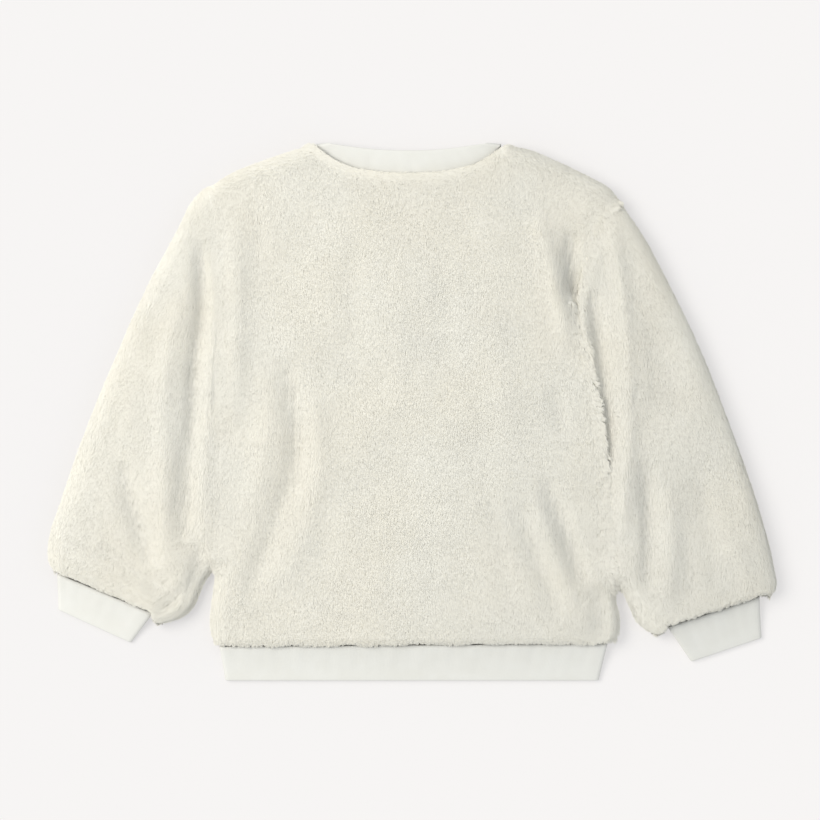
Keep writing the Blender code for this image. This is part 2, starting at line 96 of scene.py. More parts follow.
# The torso's two side edges at each section, from the shoulder tips down to the underarms.
Section = namedtuple("Section", "left_x left_y right_x right_y")
ARMHOLE_SECTIONS = [
    Section(-164.0, 179.4, 165.2, 170.0),
    Section(-159.6, 161.0, 152.6, 156.0),
    Section(-156.4, 140.0, 145.4, 141.5),
    Section(-155.0, 113.0, 138.2, 117.0),
    Section(-154.8, 84.0, 132.6, 88.0),
    Section(-154.8, 54.0, 136.2, 54.0),
]
# The same from the underarms down to the corners above the hem band.
SIDE_SECTIONS = [
    Section(-154.8, 54.0, 136.2, 54.0),
    Section(-154.8, 8.0, 144.8, 8.0),
    Section(-154.0, -40.0, 152.4, -40.0),
    Section(-154.2, -84.0, 155.4, -84.0),
    Section(-156.4, -118.0, 158.4, -118.0),
    Section(-161.2, -148.0, 164.0, -150.0),
    Section(-163.0, -172.0, 166.8, -171.0),
    Section(-160.0, -183.6, 164.4, -181.4),
]
HEM_SEAM_LEFT = (-153.2, -186.8)
HEM_SEAM_RIGHT = (154.8, -184.6)
HEM_END_LEFT = (-149.4, -215.2)
HEM_END_RIGHT = (148.6, -215.2)

# Top edge of the panels: each shoulder line, and the back and front neck seams.
SHOULDER_LEFT = [(-164.0, 179.4), (-150.0, 189.4), (-118.0, 203.2), (-80.0, 215.2)]
SHOULDER_RIGHT = [(73.0, 215.2), (90.0, 212.0), (110.0, 204.4), (140.0, 190.4), (158.0, 179.8),
                  (165.2, 170.0)]
BACK_NECK = [(-80.0, 215.2), (-66.0, 203.6), (-49.0, 195.4), (-25.0, 191.2), (-2.0, 190.6),
             (28.0, 192.2), (49.0, 197.4), (62.0, 204.6), (73.0, 215.2)]
FRONT_NECK = [(-80.0, 215.2), (-68.0, 188.0), (-43.0, 160.0), (-3.5, 150.0), (36.0, 160.0),
              (61.0, 188.0), (73.0, 215.2)]
# Free edge of the neck band, across the back and across the front.
BACK_NECK_FREE = [(-67.6, 214.6), (-50.0, 211.6), (-25.0, 208.9), (-2.0, 208.2), (27.0, 209.6),
                  (46.0, 212.2), (60.4, 214.6)]
FRONT_NECK_FREE = [(-67.6, 214.6), (-55.0, 194.0), (-34.0, 178.0), (-3.5, 171.0), (27.0, 178.0),
                   (48.0, 194.0), (60.4, 214.6)]

# A sleeve: its outer edge, the height where its inner edge leaves the body, the lobe that its
# inner edge ends in and the turn from that to the cuff, the two ends of its cuff seam, and the
# cuff's free corners.
Sleeve = namedtuple("Sleeve", "side outer leaves_body_y lobe turn "
                              "seam_outer seam_inner cuff_outer cuff_inner")
SLEEVES = {
    "left": Sleeve(
        side=-1,
        outer=[(-174.8, 171.6), (-188.4, 147.6), (-212.0, 104.0), (-239.4, 43.0), (-259.0, -4.0),
               (-282.0, -69.0), (-292.2, -102.0), (-292.8, -116.0), (-288.6, -126.6)],
        leaves_body_y=-114.0,
        lobe=[(-157.9, -121.0), (-161.8, -131.0), (-167.4, -142.0), (-172.4, -153.6),
              (-178.6, -161.6), (-187.6, -166.8), (-199.4, -170.0)],
        turn=(-206.8, -168.2), seam_outer=(-283.0, -128.8), seam_inner=(-208.8, -160.0),
        cuff_outer=(-283.6, -158.8), cuff_inner=(-226.8, -184.6)),
    "right": Sleeve(
        side=1,
        outer=[(180.2, 150.0), (206.8, 102.0), (230.0, 54.0), (249.2, 6.0), (267.0, -42.0),
               (282.4, -90.0), (290.6, -124.0), (292.8, -137.0), (288.4, -147.0)],
        leaves_body_y=-128.0,
        lobe=[(162.9, -136.0), (166.8, -144.0), (171.2, -154.0), (175.8, -165.0), (182.6, -172.8),
              (190.8, -177.6)],
        turn=(199.8, -178.4), seam_outer=(276.4, -147.2), seam_inner=(205.2, -170.8),
        cuff_outer=(279.6, -181.2), cuff_inner=(224.6, -199.8)),
}

# Folds lie along a curve through three points. A rise below zero is a trough. The higher the
# power, the further towards its ends a fold keeps its height.
Fold = namedtuple("Fold", "start middle end half_width rise")
FOLD_POWER = 4
BODY_FOLDS = [
    Fold((-142, 160), (-140, 90), (-141, -10), 9.0, 3.6),
    Fold((-101, 46), (-92, -22), (-101, -76), 8.0, -4.6),
    Fold((-96, -50), (-113, -98), (-132, -152), 9.0, -4.2),
    Fold((-118, 40), (-117, -20), (-130, -80), 9.0, 2.4),
    Fold((-78, 20), (-74, -40), (-104, -140), 10.0, 2.6),
    Fold((98, 160), (113, 104), (124, 50), 8.0, 4.6),
    Fold((128, 148), (127, 122), (129, 88), 6.0, -7.0),
    Fold((108, 20), (117, 2), (118, -18), 7.0, -2.4),
    Fold((62, 90), (70, 30), (74, -36), 12.0, 1.8),
    Fold((104, -50), (120, -88), (137, -138), 6.5, -4.6),
    Fold((82, -70), (98, -112), (118, -164), 8.0, -3.2),
    Fold((92, -58), (110, -104), (130, -160), 6.5, 2.2),
    Fold((148, -136), (151, -160), (148, -182), 9.0, -4.0),
]
SLEEVE_FOLDS = {
    "left": [
        Fold((-167, 140), (-167, 84), (-175, 20), 6.5, -7.0),
        Fold((-171, 48), (-177, -30), (-180, -100), 6.5, -6.6),
        Fold((-184, 100), (-196, 30), (-198, -50), 9.0, 3.6),
        Fold((-198, -30), (-197, -84), (-190, -128), 9.0, 3.4),
        Fold((-232, -38), (-219, -84), (-204, -122), 7.0, -4.6),
        Fold((-252, -106), (-222, -120), (-184, -148), 7.5, -4.2),
        Fold((-288, -112), (-258, -124), (-226, -136), 9.0, 2.4),
        Fold((-168, -104), (-176, -136), (-202, -160), 5.5, -4.8),
        Fold((-226, -134), (-212, -146), (-198, -158), 6.0, 2.0),
    ],
    "right": [
        Fold((156, 152), (168, 80), (172, 6), 8.0, 4.4),
        Fold((173, 30), (171, -30), (166, -100), 8.0, 3.6),
        Fold((142, 100), (151, 40), (159, -50), 6.5, -8.0),
        Fold((180, 80), (183, 40), (185, -6), 6.0, 1.8),
        Fold((185, -36), (188, -86), (186, -142), 6.5, -5.4),
        Fold((203, -50), (205, -112), (198, -164), 9.0, 3.4),
        Fold((226, -30), (234, -84), (242, -140), 10.0, -2.4),
        Fold((252, -100), (264, -122), (272, -142), 8.0, 1.8),
    ],
}
# Finer folds, which only the cloth and its pile have.
FINE_BODY_FOLDS = [
    Fold((-44, 150), (-48, 90), (-46, 20), 8.0, -0.9),
    Fold((-14, 120), (-10, 60), (-14, 0), 7.0, 0.7),
    Fold((22, 130), (26, 66), (22, -6), 8.0, -0.8),
    Fold((-66, -60), (-70, -104), (-80, -150), 8.0, -0.9),
    Fold((20, -70), (26, -110), (30, -160), 9.0, 0.8),
    Fold((58, -40), (66, -90), (76, -150), 7.0, -1.0),
    Fold((-20, -80), (-26, -120), (-30, -164), 9.0, 0.7),
    Fold((-128, 170), (-122, 150), (-121, 122), 6.0, -1.0),
    Fold((131, 118), (134, 92), (140, 60), 5.5, -4.0),
]
FINE_SLEEVE_FOLDS = {
    "left": [
        Fold((-184, -14), (-185, -50), (-188, -88), 4.5, -1.6),
        Fold((-222, 62), (-230, 20), (-238, -30), 8.0, -0.9),
        Fold((-256, -30), (-262, -66), (-268, -96), 8.0, 0.9),
    ],
    "right": [
        Fold((196, 66), (206, 26), (212, -20), 7.0, -0.9),
        Fold((236, 2), (248, -40), (258, -84), 8.0, -1.0),
        Fold((214, -92), (220, -120), (222, -150), 6.0, -1.0),
    ],
}
FRONT_FOLDS = [
    Fold((-110, 90), (-96, 0), (-104, -130), 12.0, -2.6),
    Fold((88, 110), (100, 10), (92, -120), 12.0, -2.2),
    Fold((-30, 60), (-16, -30), (-30, -150), 14.0, -1.6),
    Fold((40, 40), (34, -40), (52, -150), 12.0, -1.8),
]

# Soft unevenness of a fleece surface: waves of these lengths, in these directions.
Swell = namedtuple("Swell", "length heading phase height")
SWELLS = [
    Swell(118.0, 24.0, 0.3, 0.45),
    Swell(83.0, 107.0, 1.9, 0.35),
    Swell(61.0, 163.0, 4.1, 0.28),
    Swell(47.0, 68.0, 2.6, 0.22),
]

# The pile. Lean is from upright, in degrees, and so are the spreads of the tufts' directions.
PILE_DEPTH = 1.7
SEAM_DEPTH_SHARE = 0.8
TUFT_LENGTH = 5.2
TUFT_WIDTH = 0.40
TUFT_LEAN = 80.0
LEAN_SPREAD = 2.5
LOCK_SIZE = 3.0
LOCK_PULL = 0.08
LOCK_SPREAD = 4.0
STRAY_SPREAD = 9.0
TILT_SPREAD = 4.0
NORMAL_SPREAD = 0.02
ROOT_SINK = 0.4
CLOTH_SINK = 0.4
FLOOR_CLEARANCE = 0.2
UNDER_DENSITY = 0.40
UNDER_BLEND = 1.5
BACK_TUFTS = 172000
SLEEVE_TUFTS = 150000
FRONT_TUFTS = 70000
FACE_UP = 0.9
SHADE_UP = 0.45
RIM_UP = 3.0
STRAY_SHARE = 0.015
STRAY_STAND = 26.0
STRAY_LENGTH = 0.7
BEND_LIMIT = 0.2
LEAN_LIMITS = (-80, 85)
LOCK_LEAN = 1.5
LOCK_JITTER = 0.7
# Each of these pairs is a least value and what chance adds to it at most.
LOCK_LENGTHS = (0.95, 0.1)
TUFT_LENGTHS = (0.85, 0.3)
TUFT_WIDTHS = (0.75, 0.5)
BULGE_PLACES = (0.5, 0.15)
# Tone at root, bulge and tip, low at the root as painted shade; how far tufts and locks differ in
# it.
TUFT_SHADE_TONES = (0.0, 0.6, 1.0)
TONE_SPREAD = 0.12
LOCK_TONE_SPREAD = 0.10
# Slow changes over the cloth: by how much, and over what size.
Drift = namedtuple("Drift", "amount size")
LENGTH_DRIFT = Drift(0.03, 34.0)
LEAN_DRIFT = Drift(1.0, 46.0)
SWING_DRIFT = Drift(6, 52.0)
FRINGE_DRIFT = Drift(0.035, 24.0)
FRINGE_LIMITS = (0.3, 1.7)
# The waves of a drift: how many, how level they run, and the least and most of their size.
DRIFT_WAVES = 7
DRIFT_LEVEL = (1, 1, 0.4)
DRIFT_SIZES = (0.7, 1.5)

# Where fleece meets fleece the pile hides the seam: the height of its edge there, on the body and
# on the sleeve, as a share of the crown's. An edge with a share over 1 stands proud of the crown.
BODY_ARMHOLE_SHARE = {-1: 1.15, 1: 1.10}
SLEEVE_ARMHOLE_SHARE = {-1: 0.90, 1: 0.86}
BODY_FLANK_SHARE = {-1: 1.13, 1: 1.10}
SLEEVE_FLANK_SHARE = {-1: 0.88, 1: 0.80}
NECK_PILE_SHARE = 0.72
FLANK_TAPER = 16.0
UPRIGHT_REACH = 14.0
FLANK_UPRIGHT = 6.0

# The pile flows from the neck along the shoulders, over the armholes onto the sleeves, and across
# the gap beside them. Where it starts it is denser. A slide spreads its roots over the seam beside
# them. Where it ends, above a band, it sweeps out over the band and gathers into a fringe.
SHOULDER_REACH = 18.0
SHOULDER_SWEEP = 3.0
ARMHOLE_SWEEP = 0.6
START_REACH = 12.0
START_DENSITY = 1.6
START_SLIDE = {-1: 2.0, 1: 5.5}
SEAM_SLIDE = 3.0
SEAM_DENSITY = 1.6
NECK_SLIDE = 1.6
NECK_SWEEP = -2.2
NECK_STAND = 8.0
NECK_LENGTH = 0.7
NECK_REACH = 11.0
FLANK_REACH = 9.0
BODY_FLANK_SWEEP = {-1: 0.9, 1: 1.1}
BODY_FLANK_LOCKS = {-1: 1.0, 1: 5.0}
SLEEVE_FLANK_SWEEP = {-1: 0.0, 1: 0.2}
FRINGE_REACH = 8.0
FRINGE_SWEEP = 0.9
FRINGE_STAND = 2.0
FRINGE_LENGTH = 0.72
FRINGE_LOCKS = 9.0
FRINGE_DENSITY = 3.0

# The back's pile is in three strips, from and to these shares of its rows.
BACK_STRIPS = {
    "back_pile_upper": (0, 0.37),
    "back_pile_middle": (0.37, 0.68),
    "back_pile_lower": (0.68, 1),
}
SEEDS = {
    "back_pile_upper": 11,
    "back_pile_middle": 12,
    "back_pile_lower": 13,
    "front_pile": 14,
    "sleeve_left": 21,
    "sleeve_right": 22,
    "cuff_left": 31,
    "cuff_right": 32,
    "hem_band": 33,
    "neck_band": 41,
}

# The cut of each piece's outer face, all round on a tube: width, length and area in metres.
Cut = namedtuple("Cut", "width length area")


# ---------------------------------------------------------------- curves and grids

def steps_of(path):
    """How far it is from each point of a path to the next."""
    return np.linalg.norm(np.diff(path, axis=0), axis=-1)


def running(steps):
    """The steps added up, from 0."""
    return np.concatenate([[0.0], np.cumsum(steps)])


def smooth_path(points):
    """A smooth curve through points, as a fine polyline."""
    nodes = np.array(points, float)
    spans = steps_of(nodes)
    slopes = np.diff(nodes, axis=0) / spans[:, None]
    before = spans[:-1, None]
    after = spans[1:, None]
    inner = (slopes[:-1] * after + slopes[1:] * before) / (before + after)
    tangents = np.vstack([slopes[:1], inner, slopes[-1:]])
    t = np.linspace(0, 1, CURVE_STEPS, endpoint=False)[:, None]
    rows = []
    for k, span in enumerate(spans):
        rows.append((2 * t**3 - 3 * t**2 + 1) * nodes[k]
                    + (t**3 - 2 * t**2 + t) * span * tangents[k]
                    + (3 * t**2 - 2 * t**3) * nodes[k + 1]
                    + (t**3 - t**2) * span * tangents[k + 1])
    return np.vstack(rows + [nodes[-1:]])


def length_of(path):
    return float(steps_of(path).sum())


def fractions_of(path):
    """How far along its length each point of a path is, from 0 to 1."""
    steps = steps_of(path)
    return running(steps) / steps.sum()


def at(path, fractions):
    """The points at these fractions of a path's length."""
    own = fractions_of(path)
    return np.column_stack([np.interp(fractions, own, path[:, k]) for k in range(path.shape[1])])


def offset(path, distance):
    """The path moved sideways, to the right of its direction where distance is above zero."""
    direction = np.gradient(path, axis=0)
    direction /= np.linalg.norm(direction, axis=1)[:, None]
    return path + distance * np.column_stack([direction[:, 1], -direction[:, 0]])


def edge_spacing(length, start_edge, end_edge, step):
    """Fractions of a length: close together on each rounded edge, about a step apart between."""
    cells = max(1, round((length - start_edge - end_edge) / step))
    between = np.linspace(start_edge, length - end_edge, cells + 1)
    start = start_edge * QUARTER[:-1] if start_edge else []
    end = length - end_edge * QUARTER[-2::-1] if end_edge else []
    return np.concatenate([start, between, end]) / length


def plan_grid(left, right, top, bottom, side_reach=1):
    """A grid between four edges that share their corners: rows run from left to right."""
    u = ((fractions_of(top) + fractions_of(bottom)) / 2)[None, :, None]
    v = ((fractions_of(left) + fractions_of(right)) / 2)[:, None, None]
    down = (1 - v) * top[None] + v * bottom[None]
    left_bend = left[:, None] - down[:, :1]
    right_bend = right[:, None] - down[:, -1:]
    return down + (1 - u) ** side_reach * left_bend + u ** side_reach * right_bend


def rise(distance, radius, share=0.0):
    """Height across a rounded edge, as a share of full height: a quarter ellipse."""
    t = np.clip(distance / radius, 0, 1)
    return share + (1 - share) * np.sqrt(1 - (1 - t) ** 2)


def soft_rise(distance, radius, share):
    """Height across an edge that the pile fills, as a share of full height: a parabola."""
    t = np.clip(distance / radius, 0, 1)
    return share + (1 - share) * (1 - (1 - t) ** 2)


def corners(grid):
    """The four corners of every cell of a grid."""
    return grid[:-1, :-1], grid[:-1, 1:], grid[1:, 1:], grid[1:, :-1]


def distances(plan):
    """How far each grid point is from the grid's left, right, top and bottom edge."""
    edges = (plan[:, :1], plan[:, -1:], plan[:1], plan[-1:])
    return [np.linalg.norm(plan - edge, axis=2) for edge in edges]


def fold_height(plan, folds):
    """What all the folds add at each grid point."""
    height = np.zeros(plan.shape[:2])
    for fold in folds:
        path = smooth_path([fold.start, fold.middle, fold.end])
        away = np.linalg.norm(plan[:, :, None] - path[None, None], axis=3)
        along = fractions_of(path)[away.argmin(axis=2)]
        taper = 1 - (2 * along - 1) ** FOLD_POWER
        height += fold.rise * taper * np.exp(-(away.min(axis=2) / fold.half_width) ** 2)
    return height


def swell_height(plan):
    """The soft unevenness at each grid point."""
    height = np.zeros(plan.shape[:2])
    for swell in SWELLS:
        heading = radians(swell.heading)
        along = plan[..., 0] * np.cos(heading) + plan[..., 1] * np.sin(heading)
        height += swell.height * np.sin(2 * pi * along / swell.length + swell.phase)
    return height


def seam_share(edge, seam_start, seam_end, share):
    """The share of its height that an edge keeps: none at its corners, full along its seam."""
    corner = np.array([seam_start, seam_end], float)
    near = np.linalg.norm(edge[:, None] - corner[None], axis=2).min(axis=1)
    straight = np.array(seam_end, float) - corner[0]
    along = (edge - corner[0]) @ straight / (straight @ straight)
    inside = (along > SEAM_ENDS) & (along < 1 - SEAM_ENDS)
    return np.where(inside, share * rise(near, END_EDGE), 0.0)


def end_edge(start, seam_start, seam_end, turn, end, counts):
    """A piece's last edge: a corner, then its straight seam, then a corner with a turn in it."""
    stretches = [[start, seam_start], [seam_start, seam_end], [seam_end, *turn, end]]
    rows = [np.array([start], float)]
    for stretch, count in zip(stretches, counts):
        rows.append(at(smooth_path(stretch), np.linspace(0, 1, count + 1))[1:])
    return np.vstack(rows)


def side_path(sections, side):
    """One side edge of the torso through its sections."""
    return smooth_path([row[:2] if side < 0 else row[2:] for row in sections])


def armhole_edge(side):
    """Points down an armhole seam."""
    path = side_path(ARMHOLE_SECTIONS, side)
    return at(path, edge_spacing(ARMHOLE_LENGTH, SLEEVE_EDGE, SLEEVE_EDGE, ARMHOLE_STEP))


def armhole_share(side, share, flank):
    """The share of its height that the pile keeps down an armhole seam, and at the seam's foot."""
    above_underarm = ARMHOLE_LENGTH * (1 - fractions_of(armhole_edge(side)))
    return flank + (share - flank) * rise(above_underarm, UNDERARM_TAPER)


def flank_share(path, side, share):
    """The same down a path beside the body: it fades where the sleeve leaves the body."""
    leaves = SLEEVES["left" if side < 0 else "right"].lobe[0][1]
    return share * np.clip((path[:, 1] - leaves) / FLANK_TAPER + 0.5, 0, 1)


def torso_side(side):
    """Points down one side of a torso panel: its armhole, then its side seam."""
    spacing = edge_spacing(SIDE_SEAM_LENGTH, 0, END_EDGE, ALONG_STEP)
    return np.vstack([armhole_edge(side), at(side_path(SIDE_SECTIONS, side), spacing)[1:]])


# ---------------------------------------------------------------- fleece forms

# A skin is the outer form of a fleece piece on a grid, with what its pile needs at each point:
# normals, the direction it is combed in, its depth, how long it is, how many degrees it stands up
# from its usual lean, how far it gathers into locks, how dense it is, how far its roots spread back
# over a seam beside them, and how fast the form curves up ahead of it.
Skin = namedtuple("Skin",
                  "points normals combs depth reach stand locks density shift bend wraps")


def unit(vectors):
    """The vectors at length 1."""
    return vectors / np.maximum(np.linalg.norm(vectors, axis=-1, keepdims=True), 1e-9)


def grid_normals(points, wraps):
    """Normals of a grid, and the direction in which its rows follow each other."""
    if wraps:
        padded = np.concatenate([points[:, -1:], points, points[:, :1]], axis=1)
        across = padded[:, 2:] - padded[:, :-2]
    else:
        across = np.gradient(points, axis=1)
    along = np.gradient(points, axis=0)
    return unit(np.cross(across, along)), along


def towards(vectors, direction, weight):
    """The vectors turned this far, 0 to 1, towards a direction."""
    return unit(vectors * (1 - weight[..., None]) + np.asarray(direction) * weight[..., None])


def smooth(share):
    """A share from 0 to 1, eased at both ends."""
    share = np.clip(share, 0, 1)
    return share * share * (3 - 2 * share)


def skin_of(points, normals, along, depth, from_start, from_end, at_band, wraps):
    """A skin that is combed down its rows, from shoulder to hem and from armhole to cuff."""
    combs = unit(along - (along * normals).sum(axis=2, keepdims=True) * normals)
    level = unit(along * (1, 1, 0))
    start = smooth(1 - from_start / START_REACH)
    end = np.clip(1 - from_end / FRINGE_REACH, 0, 1) * at_band
    combs = unit(combs + (FRINGE_SWEEP * end)[..., None] * level)
    reach = 1 - (1 - FRINGE_LENGTH) * end
    stand = FRINGE_STAND * end
    locks = 1 + (FRINGE_LOCKS - 1) * end
    density = 1 + (START_DENSITY - 1) * start + (FRINGE_DENSITY - 1) * end
    turning = (np.gradient(unit(along), axis=0) * normals).sum(axis=2)
    bend = np.clip(turning / np.linalg.norm(along, axis=2), 0, BEND_LIMIT)
    return Skin(points, normals, combs, depth, reach, stand, locks, density, 0 * combs, bend, wraps)


def swept(skin, sideways, weight, locks=1.0):
    """The skin with its pile combed partly sideways, by this weight, and more into locks."""
    combs = skin.combs + weight[..., None] * np.asarray(sideways)
    combs = unit(combs - (combs * skin.normals).sum(axis=2, keepdims=True) * skin.normals)
    return skin._replace(combs=combs, locks=np.maximum(skin.locks, 1 + (locks - 1) * (weight > 0)))


def near_seam(distance, reach, share):
    """How near a seam each point is, 0 to 1: in full where the share is half or more."""
    return np.minimum(2 * share, 1) * np.clip(1 - distance / reach, 0, 1)


def pile_depth(near_band):
    """The pile's depth: there is less of it beside a band."""
    return PILE_DEPTH * (1 - (1 - SEAM_DEPTH_SHARE) * near_band)


def panel_plan(neck, step):
    """Plan of a torso panel with this neck seam, its rise from its edges, and its pile's depth.

    After those come how near each point is to the sleeve at its left and right, 0 to 1, how far
    it is from the top and bottom edges, and which columns are at the neck and at the hem band.
    """
    left = torso_side(-1)
    right = torso_side(1)
    shoulder_cells = EDGE_STEPS + round((SHOULDER_LENGTH - BODY_EDGE) / step)
    shoulder = edge_spacing(SHOULDER_LENGTH, BODY_EDGE, 0, step)
    top = np.vstack([at(smooth_path(SHOULDER_LEFT), shoulder),
                     at(smooth_path(neck), np.linspace(0, 1, NECK_CELLS + 1))[1:],
                     at(smooth_path(SHOULDER_RIGHT), 1 - shoulder[::-1])[1:]])
    seam_cells = len(top) - 1 - 2 * EDGE_STEPS
    bottom = end_edge(left[-1], HEM_SEAM_LEFT, HEM_SEAM_RIGHT, [], right[-1],
                      (EDGE_STEPS, seam_cells, EDGE_STEPS))
    plan = plan_grid(left, right, top, bottom, side_reach=TORSO_SIDE_REACH)
    shares = []
    for side, edge in ((-1, left), (1, right)):
        down_armhole = armhole_share(side, BODY_ARMHOLE_SHARE[side], BODY_FLANK_SHARE[side])
        share = flank_share(edge, side, BODY_FLANK_SHARE[side])
        share[:len(down_armhole)] = down_armhole
        shares.append(share[:, None])
    at_neck = np.zeros(len(top))
    at_neck[shoulder_cells + 1:shoulder_cells + NECK_CELLS] = 1
    at_neck = np.convolve(at_neck, (0.25, 0.5, 0.25), "same")
    hem_share = seam_share(bottom, HEM_SEAM_LEFT, HEM_SEAM_RIGHT, BAND_SHARE)
    from_left, from_right, from_top, from_bottom = distances(plan)
    edge_rise = (soft_rise(from_left, BODY_EDGE, shares[0])
                 * soft_rise(from_right, BODY_EDGE, shares[1])
                 * rise(from_top, BODY_EDGE, NECK_PILE_SHARE * at_neck[None])
                 * rise(from_bottom, END_EDGE, hem_share[None]))
    near_band = np.maximum(at_neck[None] * (1 - rise(from_top, BODY_EDGE)),
                           (hem_share[None] > 0) * (1 - rise(from_bottom, END_EDGE)))
    beside = {-1: near_seam(from_left, UPRIGHT_REACH, shares[0]),
              1: near_seam(from_right, UPRIGHT_REACH, shares[1])}
    return (plan, edge_rise, pile_depth(near_band), beside, from_top, from_bottom, at_neck[None],
            hem_share[None] > 0)


def panel_skin(points, up, depth, beside, from_top, from_bottom, at_neck, at_hem):
    """A torso panel's skin: up is 1 for the back and -1 for the front."""
    normals, along = grid_normals(points, False)
    normals = normals * up * np.sign(normals[..., 2:].mean())
    by_neck = at_neck * smooth(1 - from_top / NECK_REACH)
    normals = towards(normals, (0, 0, up), np.maximum(np.maximum(beside[-1], beside[1]), by_neck))
    skin = skin_of(points, normals, along, depth, from_top, from_bottom, at_hem, False)
    skin = skin._replace(reach=skin.reach * (1 - (1 - NECK_LENGTH) * by_neck),
                         stand=skin.stand + NECK_STAND * by_neck)
    top_edge = unit(np.gradient(points[:1], axis=1) * (1, 1, 0))
    skin = swept(skin, top_edge, NECK_SWEEP * by_neck)
    away = np.sign(points[:1, :, :1] - (BACK_NECK[0][0] + BACK_NECK[-1][0]) / 2) * top_edge
    shoulder = (1 - at_neck) * smooth(1 - from_top / SHOULDER_REACH)
    skin = swept(skin, away, SHOULDER_SWEEP * shoulder)
    above_underarm = smooth((points[..., 1] - ARMHOLE_SECTIONS[-1].left_y) / UNDERARM_TAPER)
    for side in (-1, 1):
        near = smooth(1 - (1 - beside[side]) * UPRIGHT_REACH / FLANK_REACH)
        sweep = BODY_FLANK_SWEEP[side] + (ARMHOLE_SWEEP - BODY_FLANK_SWEEP[side]) * above_underarm
        skin = swept(skin, (side, 0, 0), sweep * near, BODY_FLANK_LOCKS[side])
        over = SEAM_SLIDE * near * smooth(from_top / SHOULDER_REACH)
        skin = skin._replace(shift=skin.shift + over[..., None] * (side, 0, 0),
                             density=skin.density * (1 + (SEAM_DENSITY - 1) * near))
    up_rows = -unit(along * (1, 1, 0))
    return skin._replace(shift=skin.shift + NECK_SLIDE * by_neck[..., None] * up_rows)


def torso_skins():
    """The back and the front."""
    plan, edge_rise, *rest = panel_plan(BACK_NECK, ACROSS_STEP)
    crown = BODY_CROWN + fold_height(plan, BODY_FOLDS + FINE_BODY_FOLDS) + swell_height(plan)
    low = BACK_LOW + GROUND
    back = panel_skin(np.dstack([plan, low + (crown - low) * edge_rise]), 1, *rest)
    plan, edge_rise, *rest = panel_plan(FRONT_NECK, FRONT_STEP)
    front = panel_skin(np.dstack([plan, UNDER_PILE * (1 - edge_rise)]), -1, *rest)
    return back, front


def sleeve_plan(sleeve):
    """Plan of a sleeve, from its outer edge to its inner edge and from its armhole to its cuff.

    After that come the shares of its height that it keeps at its armhole, beside the body and at
    its cuff.
    """
    top = offset(armhole_edge(sleeve.side), -sleeve.side * SEAM_GAP)
    outer_path = smooth_path([top[0], *sleeve.outer])
    body_side = offset(side_path(SIDE_SECTIONS, sleeve.side), -sleeve.side * TOUCH_GAP)
    beside_body = body_side[body_side[:, 1] > sleeve.leaves_body_y][1::FLANK_STRIDE]
    inner_path = smooth_path([top[-1], *beside_body, *sleeve.lobe])
    spacing = edge_spacing(length_of(outer_path), ARMHOLE_EDGE, END_EDGE, ALONG_STEP)
    outer = at(outer_path, spacing)
    inner = at(inner_path, spacing)
    end = end_edge(outer[-1], sleeve.seam_outer, sleeve.seam_inner, [sleeve.turn], inner[-1],
                   (CORNER_CELLS, len(top) - 1 - 2 * CORNER_CELLS, CORNER_CELLS))
    plan = plan_grid(outer, inner, top, end, side_reach=SLEEVE_SIDE_REACH)
    flank = SLEEVE_FLANK_SHARE[sleeve.side]
    at_armhole = armhole_share(sleeve.side, SLEEVE_ARMHOLE_SHARE[sleeve.side], flank)
    beside_share = flank_share(inner, sleeve.side, flank)
    end_share = seam_share(end, sleeve.seam_outer, sleeve.seam_inner, BAND_SHARE)
    return plan, at_armhole[None], beside_share[:, None], end_share[None]


def ring(over, under):
    """A grid all round, from the grids of its upper and lower halves, which share their edges."""
    return np.concatenate([over, under[:, -2:0:-1]], axis=1)


def sleeve_skin(sleeve, folds):
    """A sleeve all round: across its top from its outer edge to its inner edge, and back below."""
    plan, at_armhole, beside_share, end_share = sleeve_plan(sleeve)
    from_outer, from_inner, from_armhole, from_end = distances(plan)
    ends_rise = (soft_rise(from_armhole, ARMHOLE_EDGE, at_armhole)
                 * rise(from_end, END_EDGE, end_share))
    outer_rise = rise(from_outer, SLEEVE_EDGE)
    over_rise = outer_rise * soft_rise(from_inner, SLEEVE_EDGE, beside_share) * ends_rise
    under_rise = outer_rise * rise(from_inner, SLEEVE_EDGE) * ends_rise
    crown = SLEEVE_CROWN + fold_height(plan, folds) + swell_height(plan)
    over = np.dstack([plan, SEAM_HEIGHT + (crown - SEAM_HEIGHT) * over_rise])
    under = np.dstack([plan, SEAM_HEIGHT * (1 - under_rise)])
    at_band = (end_share > 0) * np.ones_like(from_end)
    depth = pile_depth(at_band * (1 - rise(from_end, END_EDGE)))
    at_seam = near_seam(from_armhole, UPRIGHT_REACH, at_armhole)
    at_flank = near_seam(from_inner, FLANK_UPRIGHT, beside_share)
    normals, along = grid_normals(ring(over, under), True)
    cells = plan.shape[1] - 1
    normals = normals * np.sign(normals[:, cells // 3:2 * cells // 3, 2].mean())
    normals = towards(normals, (0, 0, 1), ring(np.maximum(at_seam, at_flank), 0 * at_seam))
    normals = towards(normals, (0, 0, -1), ring(0 * at_seam, at_seam))
    skin = skin_of(ring(over, under), normals, along, ring(depth, depth),
                   ring(from_armhole, from_armhole), ring(from_end, from_end),
                   ring(at_band, at_band), True)
    start = smooth(1 - from_armhole / START_REACH)
    near = smooth(1 - from_inner / FLANK_REACH) * np.minimum(2 * beside_share, 1)
    slide = START_SLIDE[sleeve.side] * ring(start, 0 * start)
    skin = skin._replace(shift=-slide[..., None] * unit(skin.combs * (1, 1, 0)))
    return swept(skin, (-sleeve.side, 0, 0), SLEEVE_FLANK_SWEEP[sleeve.side] * ring(near, 0 * near))


# ---------------------------------------------------------------- meshes

def new_object(name, data):
    """An object of this data, in the scene."""
    made = bpy.data.objects.new(name, data)
    bpy.context.collection.objects.link(made)
    return made


